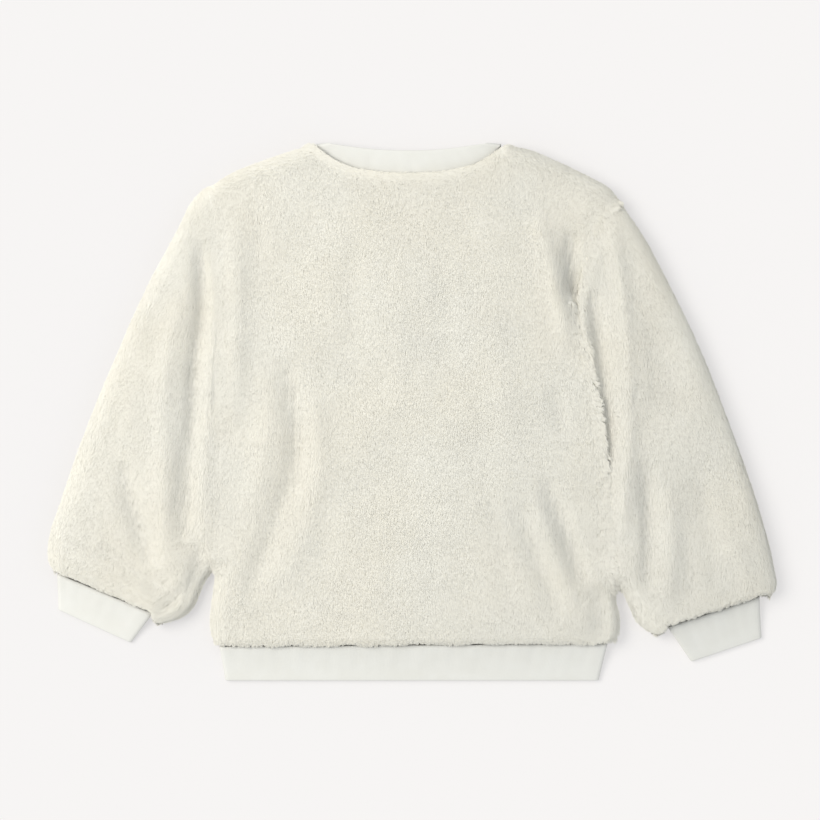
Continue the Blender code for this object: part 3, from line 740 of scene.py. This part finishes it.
def mesh_object(name, vertices, faces, material):
    """An object from vertices in millimetres and faces."""
    data = bpy.data.meshes.new(name)
    data.from_pydata((np.asarray(vertices) * MM).tolist(), [], faces)
    data.shade_smooth()
    data.materials.append(material)
    return new_object(name, data)


def close_outwards(piece):
    """Turn a closed piece's faces outwards."""
    mesh = bmesh.new()
    mesh.from_mesh(piece.data)
    bmesh.ops.recalc_face_normals(mesh, faces=mesh.faces)
    mesh.to_mesh(piece.data)
    mesh.free()


def make_shell(name, outer, inner, wraps, material):
    """A closed thin shell between an outer and an inner grid, open like a tube where it wraps."""
    rows, columns = outer.shape[:2]
    count = rows * columns
    vertices = np.concatenate([outer.reshape(-1, 3), inner.reshape(-1, 3)])
    number = np.arange(count).reshape(rows, columns).tolist()
    last = columns if wraps else columns - 1
    faces = []
    for i in range(rows - 1):
        for j in range(last):
            k = (j + 1) % columns
            a, b, c, d = number[i][j], number[i][k], number[i + 1][k], number[i + 1][j]
            faces.append((a, b, c, d))
            faces.append((a + count, d + count, c + count, b + count))
    edge = [(number[0][j], number[0][(j + 1) % columns]) for j in range(last)]
    edge += [(number[-1][(j + 1) % columns], number[-1][j]) for j in range(last)]
    if not wraps:
        edge += [(number[i + 1][0], number[i][0]) for i in range(rows - 1)]
        edge += [(number[i][-1], number[i + 1][-1]) for i in range(rows - 1)]
    faces += [(b, a, a + count, b + count) for a, b in edge]
    piece = mesh_object(name, vertices, faces, material)
    close_outwards(piece)
    return piece


def ground_of(skin):
    """Where the pile's roots are: the skin moved in by the depth of its pile."""
    return skin.points - skin.depth[..., None] * skin.normals


def cloth_of(base, skin):
    """The ground cloth's outer face, just under the roots, so that it stays covered."""
    return base - CLOTH_SINK * skin.normals


# ---------------------------------------------------------------- pile

HASH_SIZE = 65536
HASH_STEPS = (73856093, 19349663, 83492791)


def cell_values(cells, seed):
    """Four random values from 0 to 1 for each cell of a lattice in space, the same every time."""
    table = np.random.default_rng(seed).random((HASH_SIZE, 4))
    mixed = np.zeros(len(cells), np.int64)
    for axis, step in enumerate(HASH_STEPS):
        mixed ^= cells[:, axis].astype(np.int64) * step
    return table[mixed % HASH_SIZE]


def drift(points, size, seed):
    """A smooth random field about zero, that changes over about this size."""
    random = np.random.default_rng(seed)
    field = np.zeros(len(points))
    for _ in range(DRIFT_WAVES):
        heading = unit(random.normal(size=3) * DRIFT_LEVEL)
        field += np.sin(points @ heading * (2 * pi / (size * random.uniform(*DRIFT_SIZES)))
                        + random.uniform(0, 2 * pi))
    return field / np.sqrt(DRIFT_WAVES / 2)


def turn_about(vectors, axes, angles):
    """Each vector turned about its own axis."""
    cosine = np.cos(angles)[:, None]
    sine = np.sin(angles)[:, None]
    along = (vectors * axes).sum(axis=1, keepdims=True)
    return vectors * cosine + np.cross(axes, vectors) * sine + axes * along * (1 - cosine)


# Steps of an even sequence in two directions.
EVEN_STEPS = (0.7548776662, 0.5698402910)


def scatter(skin, ground, count, seed):
    """Even random places on the ground cloth: point, normal and comb of each.

    The last of the four is a function that blends a grid's values at these places.
    """
    random = np.random.default_rng(seed)

    def around(grid):
        return corners(np.concatenate([grid, grid[:, :1]], axis=1) if skin.wraps else grid)

    a, b, c, d = around(ground)
    area = (np.linalg.norm(np.cross(b - a, c - a), axis=2)
            + np.linalg.norm(np.cross(c - a, d - a), axis=2)) / 2
    share = area * sum(around(skin.density)) / 4
    wanted = share / share.sum() * count
    number = np.floor(wanted + random.random(wanted.shape)).astype(int).ravel()
    cell = np.repeat(np.arange(number.size), number)
    order = np.arange(len(cell)) - np.repeat(np.cumsum(number) - number, number)
    start = random.random((number.size, 2))[cell]
    u, v = (((start[:, k] + order * EVEN_STEPS[k]) % 1)[:, None] for k in (0, 1))

    def blend(grid):
        p, q, r, s = (corner.reshape(-1, corner.shape[-1])[cell] for corner in around(grid))
        return (p * (1 - u) + q * u) * (1 - v) + (s * (1 - u) + r * u) * v

    return blend(ground), unit(blend(skin.normals)), unit(blend(skin.combs)), blend


def from_pair(pair, chance):
    """A least value and what chance, 0 to 1, adds to it."""
    return pair[0] + pair[1] * chance


def tuft_lengths(root, reach, locks, lock, stray, seed, random):
    """How long each tuft is: less even in a fringe, and shorter where it is a stray."""
    length = (TUFT_LENGTH * reach * from_pair(LOCK_LENGTHS, lock[:, 3])
              * from_pair(TUFT_LENGTHS, random.random(len(root))))
    slow = LENGTH_DRIFT.amount * drift(root, LENGTH_DRIFT.size, seed + 3)
    length *= 1 + slow - (1 - STRAY_LENGTH) * stray
    uneven = FRINGE_DRIFT.amount * (locks - 1) * drift(root, FRINGE_DRIFT.size, seed + 6)
    return length * np.clip(1 + uneven, *FRINGE_LIMITS)


def tuft_headings(root, normal, comb, stand, locks, lock, stray, seed, random):
    """Which way each tuft points, from its lean and from its swing to the side of the comb."""
    total = len(root)
    lean = TUFT_LEAN - stand - STRAY_STAND * stray + LEAN_SPREAD * random.normal(size=total)
    lean += (locks * LOCK_LEAN * (lock[:, 0] - 0.5)
             + LEAN_DRIFT.amount * drift(root, LEAN_DRIFT.size, seed + 4))
    lean = np.radians(np.clip(lean, *LEAN_LIMITS))[:, None]
    swing = LOCK_SPREAD * locks * (2 * lock[:, 1] - 1) + STRAY_SPREAD * random.normal(size=total)
    swing += SWING_DRIFT.amount * drift(root, SWING_DRIFT.size, seed + 5)
    comb = turn_about(comb, normal, np.radians(swing))
    return np.cos(lean) * normal + np.sin(lean) * comb


def grow_pile(name, skin, ground, count, seed, material):
    """A pile of fine tufts on the ground cloth, combed one way and gathered into soft locks.

    Each tuft is one slender triangle: its root, a bulge at one side of its middle, and its tip.
    """
    root, normal, comb, blend = scatter(skin, ground, count, seed)
    random = np.random.default_rng(seed + 1)
    total = len(root)
    fields = np.dstack([skin.reach, skin.stand, skin.locks, skin.bend])
    reach, stand, locks, bend = blend(fields).T
    root = root + random.random(total)[:, None] * blend(skin.shift)
    stray = random.random(total) < STRAY_SHARE
    cells = np.floor(root / LOCK_SIZE)
    lock = cell_values(cells, seed + 2)
    centre = (cells + 0.5 + LOCK_JITTER * (lock[:, :3] - 0.5)) * LOCK_SIZE
    length = tuft_lengths(root, reach, locks, lock, stray, seed, random)
    heading = tuft_headings(root, normal, comb, stand, locks, lock, stray, seed, random)
    base = root - ROOT_SINK * normal
    pull = centre - root
    pull -= (pull * normal).sum(axis=1, keepdims=True) * normal
    tip = base + heading * length[:, None] + (LOCK_PULL * locks)[:, None] * pull
    tip += (0.5 * bend * length ** 2)[:, None] * normal
    above = np.clip(1 + 2 * normal[:, 2:], 0, 1) * (0, 0, 1)
    facing = unit(normal + FACE_UP * above)
    side = np.where(random.random(total) < 0.5, -1.0, 1.0)[:, None]
    across = side * unit(np.cross(heading, facing))
    across = turn_about(across, heading, np.radians(TILT_SPREAD) * random.normal(size=total))
    width = TUFT_WIDTH * from_pair(TUFT_WIDTHS, random.random(total))[:, None]
    along = from_pair(BULGE_PLACES, random.random(total))[:, None]
    bulge = base + along * (tip - base) + across * width
    points = np.stack([base, bulge, tip], axis=1)
    points[..., 2] = np.maximum(points[..., 2], FLOOR_CLEARANCE)
    lift = SHADE_UP + RIM_UP * (1 - np.clip(normal[:, 2:], 0, 1)) ** 2
    shading = unit(normal + lift * above + NORMAL_SPREAD * random.normal(size=(total, 3)))
    shading = np.repeat(shading[:, None], 3, axis=1)
    # Painted shade: the tone is lowest at the root; tufts and locks also differ in it at random.
    tone_and_root_shade = np.tile(TUFT_SHADE_TONES, (total, 1))
    tone_and_root_shade += (TONE_SPREAD * (random.random(total) - 0.5)
             + LOCK_TONE_SPREAD * (lock[:, 2] - 0.5))[:, None]
    return tuft_object(name, points, shading, tone_and_root_shade, material)


def tuft_object(name, points, shading, tone_and_root_shade, material):
    """One mesh of all the tufts, each face turned to its shading normal."""
    total = len(points)
    faces = np.arange(3 * total, dtype=np.int32).reshape(total, 3)
    sides = np.cross(points[:, 1] - points[:, 0], points[:, 2] - points[:, 0])
    turned = (sides * shading[:, 0]).sum(axis=1) < 0
    faces[turned] = faces[turned][:, ::-1]
    data = bpy.data.meshes.new(name)
    data.vertices.add(3 * total)
    data.vertices.foreach_set("co", (points * MM).astype(np.float32).ravel())
    data.loops.add(3 * total)
    data.loops.foreach_set("vertex_index", faces.ravel())
    data.polygons.add(total)
    data.polygons.foreach_set("loop_start", np.arange(0, 3 * total, 3, dtype=np.int32))
    data.update(calc_edges=True)
    data.shade_smooth()
    shade = data.attributes.new("tone_and_root_shade", "FLOAT", "POINT")
    shade.data.foreach_set("value", np.clip(tone_and_root_shade, 0, 1).astype(np.float32).ravel())
    add_bake_map(data, faces, total)
    data.normals_split_custom_set_from_vertices(shading.reshape(-1, 3).tolist())
    data.materials.append(material)
    return new_object(name, data)


def add_bake_map(data, faces, total):
    """A texture map in which each tuft has a small square of its own."""
    side = int(np.ceil(np.sqrt(total)))
    corner = np.array([(0.08, 0.08), (0.92, 0.08), (0.5, 0.92)])
    tuft = np.arange(total)
    square = np.stack([tuft % side, tuft // side], axis=1)
    places = ((square[:, None] + corner[None]) / side).reshape(-1, 2)
    layer = data.uv_layers.new(name="OFBake")
    layer.data.foreach_set("uv", places[faces.ravel()].astype(np.float32).ravel())


# ---------------------------------------------------------------- materials

# Painted shade: the root colour is darker and warmer than the tip's, as the pile looks deep in
# shade.
ROOT_SHADE_COLOUR = (0.878, 0.853, 0.765)
TIP_COLOUR = (0.90, 0.879, 0.803)
GROUND_COLOUR = (0.87, 0.846, 0.763)
GROUND_SHADE = 0.94
WARM_TINT = (1.0, 0.993, 0.975)
COOL_TINT = (0.995, 0.997, 0.995)
JERSEY_LIGHT = (0.785, 0.78, 0.732)
JERSEY_DARK = (0.76, 0.752, 0.698)
PILE_SHADER = {
    "Roughness": 0.92,
    "Specular IOR Level": 0.2,
    "Sheen Weight": 0.7,
    "Sheen Roughness": 0.4,
    "Sheen Tint": (0.90, 0.95, 1.0, 1),
}
GROUND_SHADER = {"Roughness": 0.95}
JERSEY_SHADER = {"Roughness": 0.85, "Sheen Weight": 0.10}
# Noise: its scale, and its values that become 0 and 1.
TINT_NOISE = (14.0, 0.35, 0.65)
GRAIN_NOISE = (900.0, 0.3, 0.7)
MOTTLE_NOISE = (60.0, 0.3, 0.7)
# Bumps: strength, and height in metres.
GRAIN_BUMP = (0.25, 0.0004)
WALE_BUMP = (0.16, 0.0002)
WALE_WIDTH = 1.15
# A wave texture of scale 1 repeats after this length.
WAVE_LENGTH = 0.31416


def new_material(name, values):
    """A node material, its shader with these values, and functions to add a node and join two."""
    material = bpy.data.materials.new(name)
    material.use_nodes = True
    tree = material.node_tree
    shader = tree.nodes["Principled BSDF"]
    for key, value in values.items():
        shader.inputs[key].default_value = value

    def add(kind, **settings):
        node = tree.nodes.new(kind)
        for key, value in settings.items():
            if key in node.inputs:
                node.inputs[key].default_value = value
            else:
                setattr(node, key, value)
        return node

    return material, shader, add, tree.links.new


def two_colours(add, join, factor, low, high):
    """A mix of two colours by a factor."""
    mix = add("ShaderNodeMix", data_type="RGBA")
    join(factor, mix.inputs["Factor"])
    mix.inputs["A"].default_value = (*low, 1)
    mix.inputs["B"].default_value = (*high, 1)
    return mix.outputs["Result"]


def noise_between(add, join, scale, low, high):
    """Noise over the object, spread from 0 at one value to 1 at another."""
    place = add("ShaderNodeTexCoord")
    noise = add("ShaderNodeTexNoise", Scale=scale, Detail=2.0, Roughness=0.5)
    join(place.outputs["Object"], noise.inputs["Vector"])
    spread = add("ShaderNodeMapRange")
    spread.inputs["From Min"].default_value = low
    spread.inputs["From Max"].default_value = high
    join(noise.outputs["Fac"], spread.inputs["Value"])
    return spread.outputs["Result"]


def add_bump(add, join, shader, height, strength, distance):
    """A bump of the shader's surface."""
    bump = add("ShaderNodeBump", Strength=strength, Distance=distance)
    join(height, bump.inputs["Height"])
    join(bump.outputs["Normal"], shader.inputs["Normal"])


def pile_material():
    """Cream pile with painted shade, darker and warmer at its roots, and a faint drift from warm to
    cool.
    """
    material, shader, add, join = new_material("sherpa_pile", PILE_SHADER)
    tone_and_root_shade = add("ShaderNodeAttribute", attribute_name="tone_and_root_shade")
    body = two_colours(add, join, tone_and_root_shade.outputs["Fac"], ROOT_SHADE_COLOUR, TIP_COLOUR)
    tint = two_colours(add, join, noise_between(add, join, *TINT_NOISE), WARM_TINT, COOL_TINT)
    product = add("ShaderNodeMix", data_type="RGBA", blend_type="MULTIPLY")
    product.inputs["Factor"].default_value = 1
    join(body, product.inputs["A"])
    join(tint, product.inputs["B"])
    join(product.outputs["Result"], shader.inputs["Base Color"])
    return material


def ground_material():
    """The knitted ground under the pile."""
    material, shader, add, join = new_material("sherpa_ground", GROUND_SHADER)
    grain = noise_between(add, join, *GRAIN_NOISE)
    shaded = tuple(GROUND_SHADE * c for c in GROUND_COLOUR)
    join(two_colours(add, join, grain, shaded, GROUND_COLOUR), shader.inputs["Base Color"])
    add_bump(add, join, shader, grain, *GRAIN_BUMP)
    return material


def jersey_material():
    """Fine jersey: wales in a bump along the map's second direction, and a faint mottle."""
    material, shader, add, join = new_material("band_jersey", JERSEY_SHADER)
    place = add("ShaderNodeUVMap", uv_map="knit")
    wales = add("ShaderNodeTexWave", wave_type="BANDS", bands_direction="X",
                Scale=1.0 / WALE_WIDTH * WAVE_LENGTH)
    join(place.outputs["UV"], wales.inputs["Vector"])
    mottle = noise_between(add, join, *MOTTLE_NOISE)
    join(two_colours(add, join, mottle, JERSEY_DARK, JERSEY_LIGHT), shader.inputs["Base Color"])
    add_bump(add, join, shader, wales.outputs["Fac"], *WALE_BUMP)
    return material


# ---------------------------------------------------------------- bands

BAND_ROWS = 9
RIM_STEPS = 5
BAND_STEP = 3.0
PUCKER_PITCH = 11.0
PUCKER_HEIGHT = 0.32
# Waves of the gathers: length in pitches, and share of the height.
PUCKER_WAVES = ((1.0, 0.5), (1.7, 0.3), (3.1, 0.45))
PUCKER_SPREAD = (0.9, 1.1)
PUCKER_SLANT = 1.2
PUCKER_FADE = 0.8
WALL_CLEARANCE = 0.1
NECK_BAND_RISE = 2.0


def band_pucker(along, down, seed):
    """Soft gathers in a band, deepest at its seam, uneven in height and spacing."""
    random = np.random.default_rng(seed)
    height = np.zeros(np.broadcast(along, down).shape)
    for scale, share in PUCKER_WAVES:
        heading = 2 * pi * along / (PUCKER_PITCH * scale * random.uniform(*PUCKER_SPREAD))
        height = height + share * np.sin(heading + random.uniform(0, 2 * pi) + PUCKER_SLANT * down)
    return PUCKER_HEIGHT * height * (1 - down) ** PUCKER_FADE


def make_band_shell(name, centre, outwards, wall, seed, material):
    """A doubled band: one wall all round, rounded at its free edge.

    centre holds the middle of the wall: its rows run from the seam to the free edge, and its
    columns go once round. outwards is the wall's outer direction.
    """
    rows, columns = centre.shape[:2]
    down = np.linspace(0, 1, rows)[:, None]
    along = running(steps_of(np.concatenate([centre[0], centre[0, :1]])))
    centre = centre + band_pucker(along[None, :-1], down, seed)[..., None] * outwards
    half = wall / 2
    end = unit(centre[-1] - centre[-2])
    outer = centre + half * outwards
    inner = centre - half * outwards
    rim = []
    for angle in np.linspace(0, pi, RIM_STEPS + 2)[1:-1]:
        rim.append(centre[-1] + half * (np.cos(angle) * outwards[-1] + np.sin(angle) * end))
    profile = np.concatenate([outer, np.array(rim), inner[::-1]])
    depth = running(steps_of(profile).mean(axis=1))
    lines = len(profile)
    faces = []
    places = []
    for i in range(lines):
        k = (i + 1) % lines
        next_depth = depth[k] if k else depth[-1] + wall
        for j in range(columns):
            m = (j + 1) % columns
            faces.append((i * columns + j, i * columns + m, k * columns + m, k * columns + j))
            places += [(along[j], depth[i]), (along[j + 1], depth[i]),
                       (along[j + 1], next_depth), (along[j], next_depth)]
    piece = mesh_object(name, profile.reshape(-1, 3), faces, material)
    layer = piece.data.uv_layers.new(name="knit")
    layer.data.foreach_set("uv", np.array(places, np.float32).ravel())
    close_outwards(piece)
    return piece


def tube_band(name, seam_start, seam_end, free_start, free_end, seed, material):
    """A flattened band, sewn on at its first edge, that droops to the surface at its free edge."""
    seam = np.array([seam_start, seam_end], float)
    free = np.array([free_start, free_end], float)
    outward = free.mean(axis=0) - seam.mean(axis=0)
    reach = np.linalg.norm(outward)
    seam = seam + SEAM_GAP * outward / reach
    free = free - (BAND_WALL / 2) * outward / reach
    spacing = edge_spacing(length_of(seam), BAND_HALF, BAND_HALF, BAND_STEP)
    down = np.linspace(0, 1, BAND_ROWS + 1)
    plan = plan_grid(at(np.array([seam[0], free[0]]), down), at(np.array([seam[1], free[1]]), down),
                     at(seam, spacing), at(free, spacing))
    from_start, from_end, _, _ = distances(plan)
    round_side = rise(from_start, BAND_HALF) * rise(from_end, BAND_HALF)
    droop = (1 - down[:, None]) ** BAND_DROOP * np.ones_like(round_side)
    middle = BAND_HALF + (SEAM_HEIGHT - BAND_HALF) * droop
    return band_ring(name, plan, plan, middle, round_side, seed, material)


def band_ring(name, over_plan, under_plan, middle, round_side, seed, material):
    """Joins a flattened band's upper and lower halves into one wall all round."""
    half = BAND_HALF - BAND_WALL / 2
    over = np.dstack([over_plan, middle + half * round_side])
    under = np.dstack([under_plan, middle - half * round_side])
    centre = ring(over, under)
    outwards, _ = grid_normals(centre, True)
    if outwards[:, over.shape[1] // 2, 2].mean() < 0:
        outwards = -outwards
    return make_band_shell(name, centre, outwards, BAND_WALL - WALL_CLEARANCE, seed, material)


def neck_half(free_edge, neck):
    """Plan of the neck band's back or front half, its rows from the seam to the free edge."""
    seam = offset(smooth_path(neck), -NECK_EASE)
    fold = (NECK_FOLD + BAND_HALF * QUARTER) / length_of(seam)
    between = np.arange(1, 2 * NECK_CELLS) / (2 * NECK_CELLS)
    spacing = np.sort(np.concatenate([fold, between, 1 - fold[::-1]]))
    free = at(smooth_path(free_edge), (spacing - fold[0]) / (1 - 2 * fold[0]))
    down = np.linspace(0, 1, BAND_ROWS + 1)[:, None, None]
    return (1 - down) * at(seam, spacing)[None] + down * free[None]


def neck_band_piece(material):
    """The neck band: its back half over its front half."""
    back = neck_half(BACK_NECK_FREE, BACK_NECK)
    front = neck_half(FRONT_NECK_FREE, FRONT_NECK)
    for fold in (slice(None, EDGE_STEPS + 1), slice(-EDGE_STEPS - 1, None)):
        front[:, fold] = back[:, fold]
    from_start, from_end, _, _ = distances(back)
    round_fold = rise(from_start, BAND_HALF) * rise(from_end, BAND_HALF)
    level = SEAM_HEIGHT + NECK_BAND_RISE * np.linspace(0, 1, BAND_ROWS + 1)[:, None] * round_fold
    return band_ring("neck_band_cloth", back, front, level, round_fold, SEEDS["neck_band"],
                     material)


# ---------------------------------------------------------------- the garment

def declare(piece, node, pile=()):
    """Attaches a cloth piece and its pile to the root, and hides the solid that it stands for."""
    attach(piece, "root")
    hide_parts(node)
    for part in pile:
        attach(part, "root")


def make_torso(pile, ground):
    """Back and front, with their pile."""
    back, front = torso_skins()
    low = BACK_LOW + GROUND
    base = ground_of(back)
    base[..., 2] = np.maximum(base[..., 2], low)
    face = cloth_of(base, back)
    face[..., 2] = np.maximum(face[..., 2], low)
    cloth = make_shell("back_cloth", face, face - (0, 0, GROUND), False, ground)
    parts = []
    for name, shares in BACK_STRIPS.items():
        first, last = (round(share * (len(base) - 1)) for share in shares)
        span = slice(first, last + 1)
        strip = Skin(*(grid[span] for grid in back[:-1]), False)
        parts.append(grow_pile(name, strip, base[span], BACK_TUFTS, SEEDS[name], pile))
    declare(cloth, "back_panel", parts)
    high = FRONT_TOP - GROUND
    base = ground_of(front)
    base[..., 2] = np.minimum(base[..., 2] - fold_height(base[..., :2], FRONT_FOLDS), high)
    face = cloth_of(base, front)
    face[..., 2] = np.minimum(face[..., 2], high)
    cloth = make_shell("front_cloth", face, face + (0, 0, GROUND), False, ground)
    part = grow_pile("front_pile", front, base, FRONT_TUFTS, SEEDS["front_pile"], pile)
    declare(cloth, "front_panel", [part])


def make_sleeve(where, sleeve, pile, ground):
    """One sleeve all round, with its pile: thinner on the side that it lies on."""
    name = f"sleeve_{where}"
    skin = sleeve_skin(sleeve, SLEEVE_FOLDS[where] + FINE_SLEEVE_FOLDS[where])
    base = ground_of(skin)
    face = cloth_of(base, skin)
    cloth = make_shell(f"{name}_cloth", face, face - GROUND * skin.normals, True, ground)
    upward = np.clip(0.5 + UNDER_BLEND * skin.normals[..., 2], 0, 1)
    share = UNDER_DENSITY + (1 - UNDER_DENSITY) * upward
    skin = skin._replace(density=skin.density * share)
    part = grow_pile(f"{name}_pile", skin, base, SLEEVE_TUFTS, SEEDS[name], pile)
    declare(cloth, name, [part])


def make_bands(jersey):
    """Cuffs, hem band and neck band."""
    for where, sleeve in SLEEVES.items():
        node = f"cuff_{where}"
        cuff = tube_band(f"{node}_cloth", sleeve.seam_outer, sleeve.seam_inner, sleeve.cuff_outer,
                         sleeve.cuff_inner, SEEDS[node], jersey)
        declare(cuff, node)
    hem = tube_band("hem_band_cloth", HEM_SEAM_LEFT, HEM_SEAM_RIGHT, HEM_END_LEFT, HEM_END_RIGHT,
                    SEEDS["hem_band"], jersey)
    declare(hem, "hem_band")
    declare(neck_band_piece(jersey), "neck_band")


# ---------------------------------------------------------------- stage

# The camera looks straight down. One image pixel is 0.8 mm at the height of the side seams.
IMAGE_PIXELS = 820
PIXEL = 0.8
LENS = 100.0
SENSOR = 36.0
IMAGE_CENTRE = (-2.0, 2.0)


def make_camera():
    height = SEAM_HEIGHT + IMAGE_PIXELS * PIXEL * LENS / SENSOR
    data = bpy.data.cameras.new("camera")
    data.lens = LENS
    data.sensor_width = SENSOR
    data.clip_start = 0.05
    data.clip_end = 50
    camera = new_object("camera", data)
    camera.location = (IMAGE_CENTRE[0] * MM, IMAGE_CENTRE[1] * MM, height * MM)
    bpy.context.scene.camera = camera


FLOOR_HALF = 6.0
FLOOR_CELLS = 64
FLOOR_SHOWN = (0.930, 0.914, 0.905)
FLOOR_GLOW = 0.5
FLOOR_LIGHTEST = 0.97
# How much of the floor's mesh is evenly spaced. The rest is closer together in the middle.
FLOOR_EVEN = 0.12
FLOOR_SHADER = {
    "Roughness": 0.9,
    "Specular IOR Level": 0.0,
    "Emission Color": (*FLOOR_SHOWN, 1),
    "Emission Strength": FLOOR_GLOW,
}
SKY_COLOUR = (0.93, 0.965, 1.0)
SKY_STRENGTH = 0.68
KEY_COLOUR = (1.0, 0.965, 0.91)
KEY_PLACE = (-0.97, 0.30, 1.5)
KEY_SIZE = 1.22
KEY_SHARE = 0.50
KEY_RINGS = 6
KEY_SPOTS = 12


def key_falloff(points):
    """What the round lamp adds at points on a level surface, as a share of one watt's radiance."""
    centre = np.array(KEY_PLACE)
    aim = centre / np.linalg.norm(centre)
    first = unit(np.cross(aim, (0, 0, 1)))
    second = np.cross(aim, first)
    light = np.zeros(len(points))
    for circle in range(KEY_RINGS):
        radius = KEY_SIZE / 2 * np.sqrt((circle + 0.5) / KEY_RINGS)
        for turn in np.linspace(0, 2 * pi, KEY_SPOTS, endpoint=False) + circle:
            spot = centre + radius * (np.cos(turn) * first + np.sin(turn) * second)
            reach = spot - points
            length = np.linalg.norm(reach, axis=1)
            light += (reach @ aim) * reach[:, 2] / length ** 4
    return light / (KEY_RINGS * KEY_SPOTS) / pi ** 2


def make_floor():
    """A floor that shows one even tone: its colour makes up for the falloff of the lamp.

    Part of the tone is its own glow, as on a lit table, so that the shadows on it stay pale.
    """
    steps = np.linspace(-1, 1, FLOOR_CELLS + 1)
    steps = FLOOR_HALF * (FLOOR_EVEN * steps + (1 - FLOOR_EVEN) * steps ** 3)
    y, x = np.meshgrid(steps, steps, indexing="ij")
    points = np.column_stack([x.ravel(), y.ravel(), np.zeros(x.size)])
    number = np.arange(x.size).reshape(x.shape)
    cells = np.stack(corners(number), axis=2)
    mesh = bpy.data.meshes.new("floor")
    mesh.from_pydata(points.tolist(), [], cells.reshape(-1, 4).tolist())
    key = KEY_SHARE * key_falloff(points) / key_falloff(np.zeros((1, 3)))
    light = SKY_STRENGTH * np.array(SKY_COLOUR) + key[:, None] * np.array(KEY_COLOUR)
    colour = np.ones((len(points), 4))
    colour[:, :3] = np.clip((1 - FLOOR_GLOW) * np.array(FLOOR_SHOWN) / light, 0, FLOOR_LIGHTEST)
    layer = mesh.color_attributes.new("even", "FLOAT_COLOR", "POINT")
    layer.data.foreach_set("color", colour.astype(np.float32).ravel())
    material, shader, add, join = new_material("floor", FLOOR_SHADER)
    even = add("ShaderNodeVertexColor", layer_name="even")
    join(even.outputs["Color"], shader.inputs["Base Color"])
    mesh.materials.append(material)
    floor = new_object("floor", mesh)


def make_stage():
    """A pale floor, an even sky and one big soft lamp at the upper left."""
    make_floor()
    world = bpy.data.worlds.new("sky")
    world.use_nodes = True
    sky = world.node_tree.nodes["Background"]
    sky.inputs["Color"].default_value = (*SKY_COLOUR, 1)
    sky.inputs["Strength"].default_value = SKY_STRENGTH
    bpy.context.scene.world = world
    light = bpy.data.lights.new("key", "AREA")
    light.shape = "DISK"
    light.size = KEY_SIZE
    light.energy = KEY_SHARE / key_falloff(np.zeros((1, 3)))[0]
    light.color = KEY_COLOUR
    lamp = new_object("key", light)
    lamp.location = KEY_PLACE
    lamp.rotation_mode = "QUATERNION"
    lamp.rotation_quaternion = Vector(KEY_PLACE).to_track_quat("Z", "Y")
    lamp.visible_camera = False
    bpy.context.scene.view_settings.view_transform = "Standard"


def main():
    make_camera()
    make_stage()
    pile = pile_material()
    ground = ground_material()
    jersey = jersey_material()
    make_torso(pile, ground)
    for where, sleeve in SLEEVES.items():
        make_sleeve(where, sleeve, pile, ground)
    make_bands(jersey)


main()
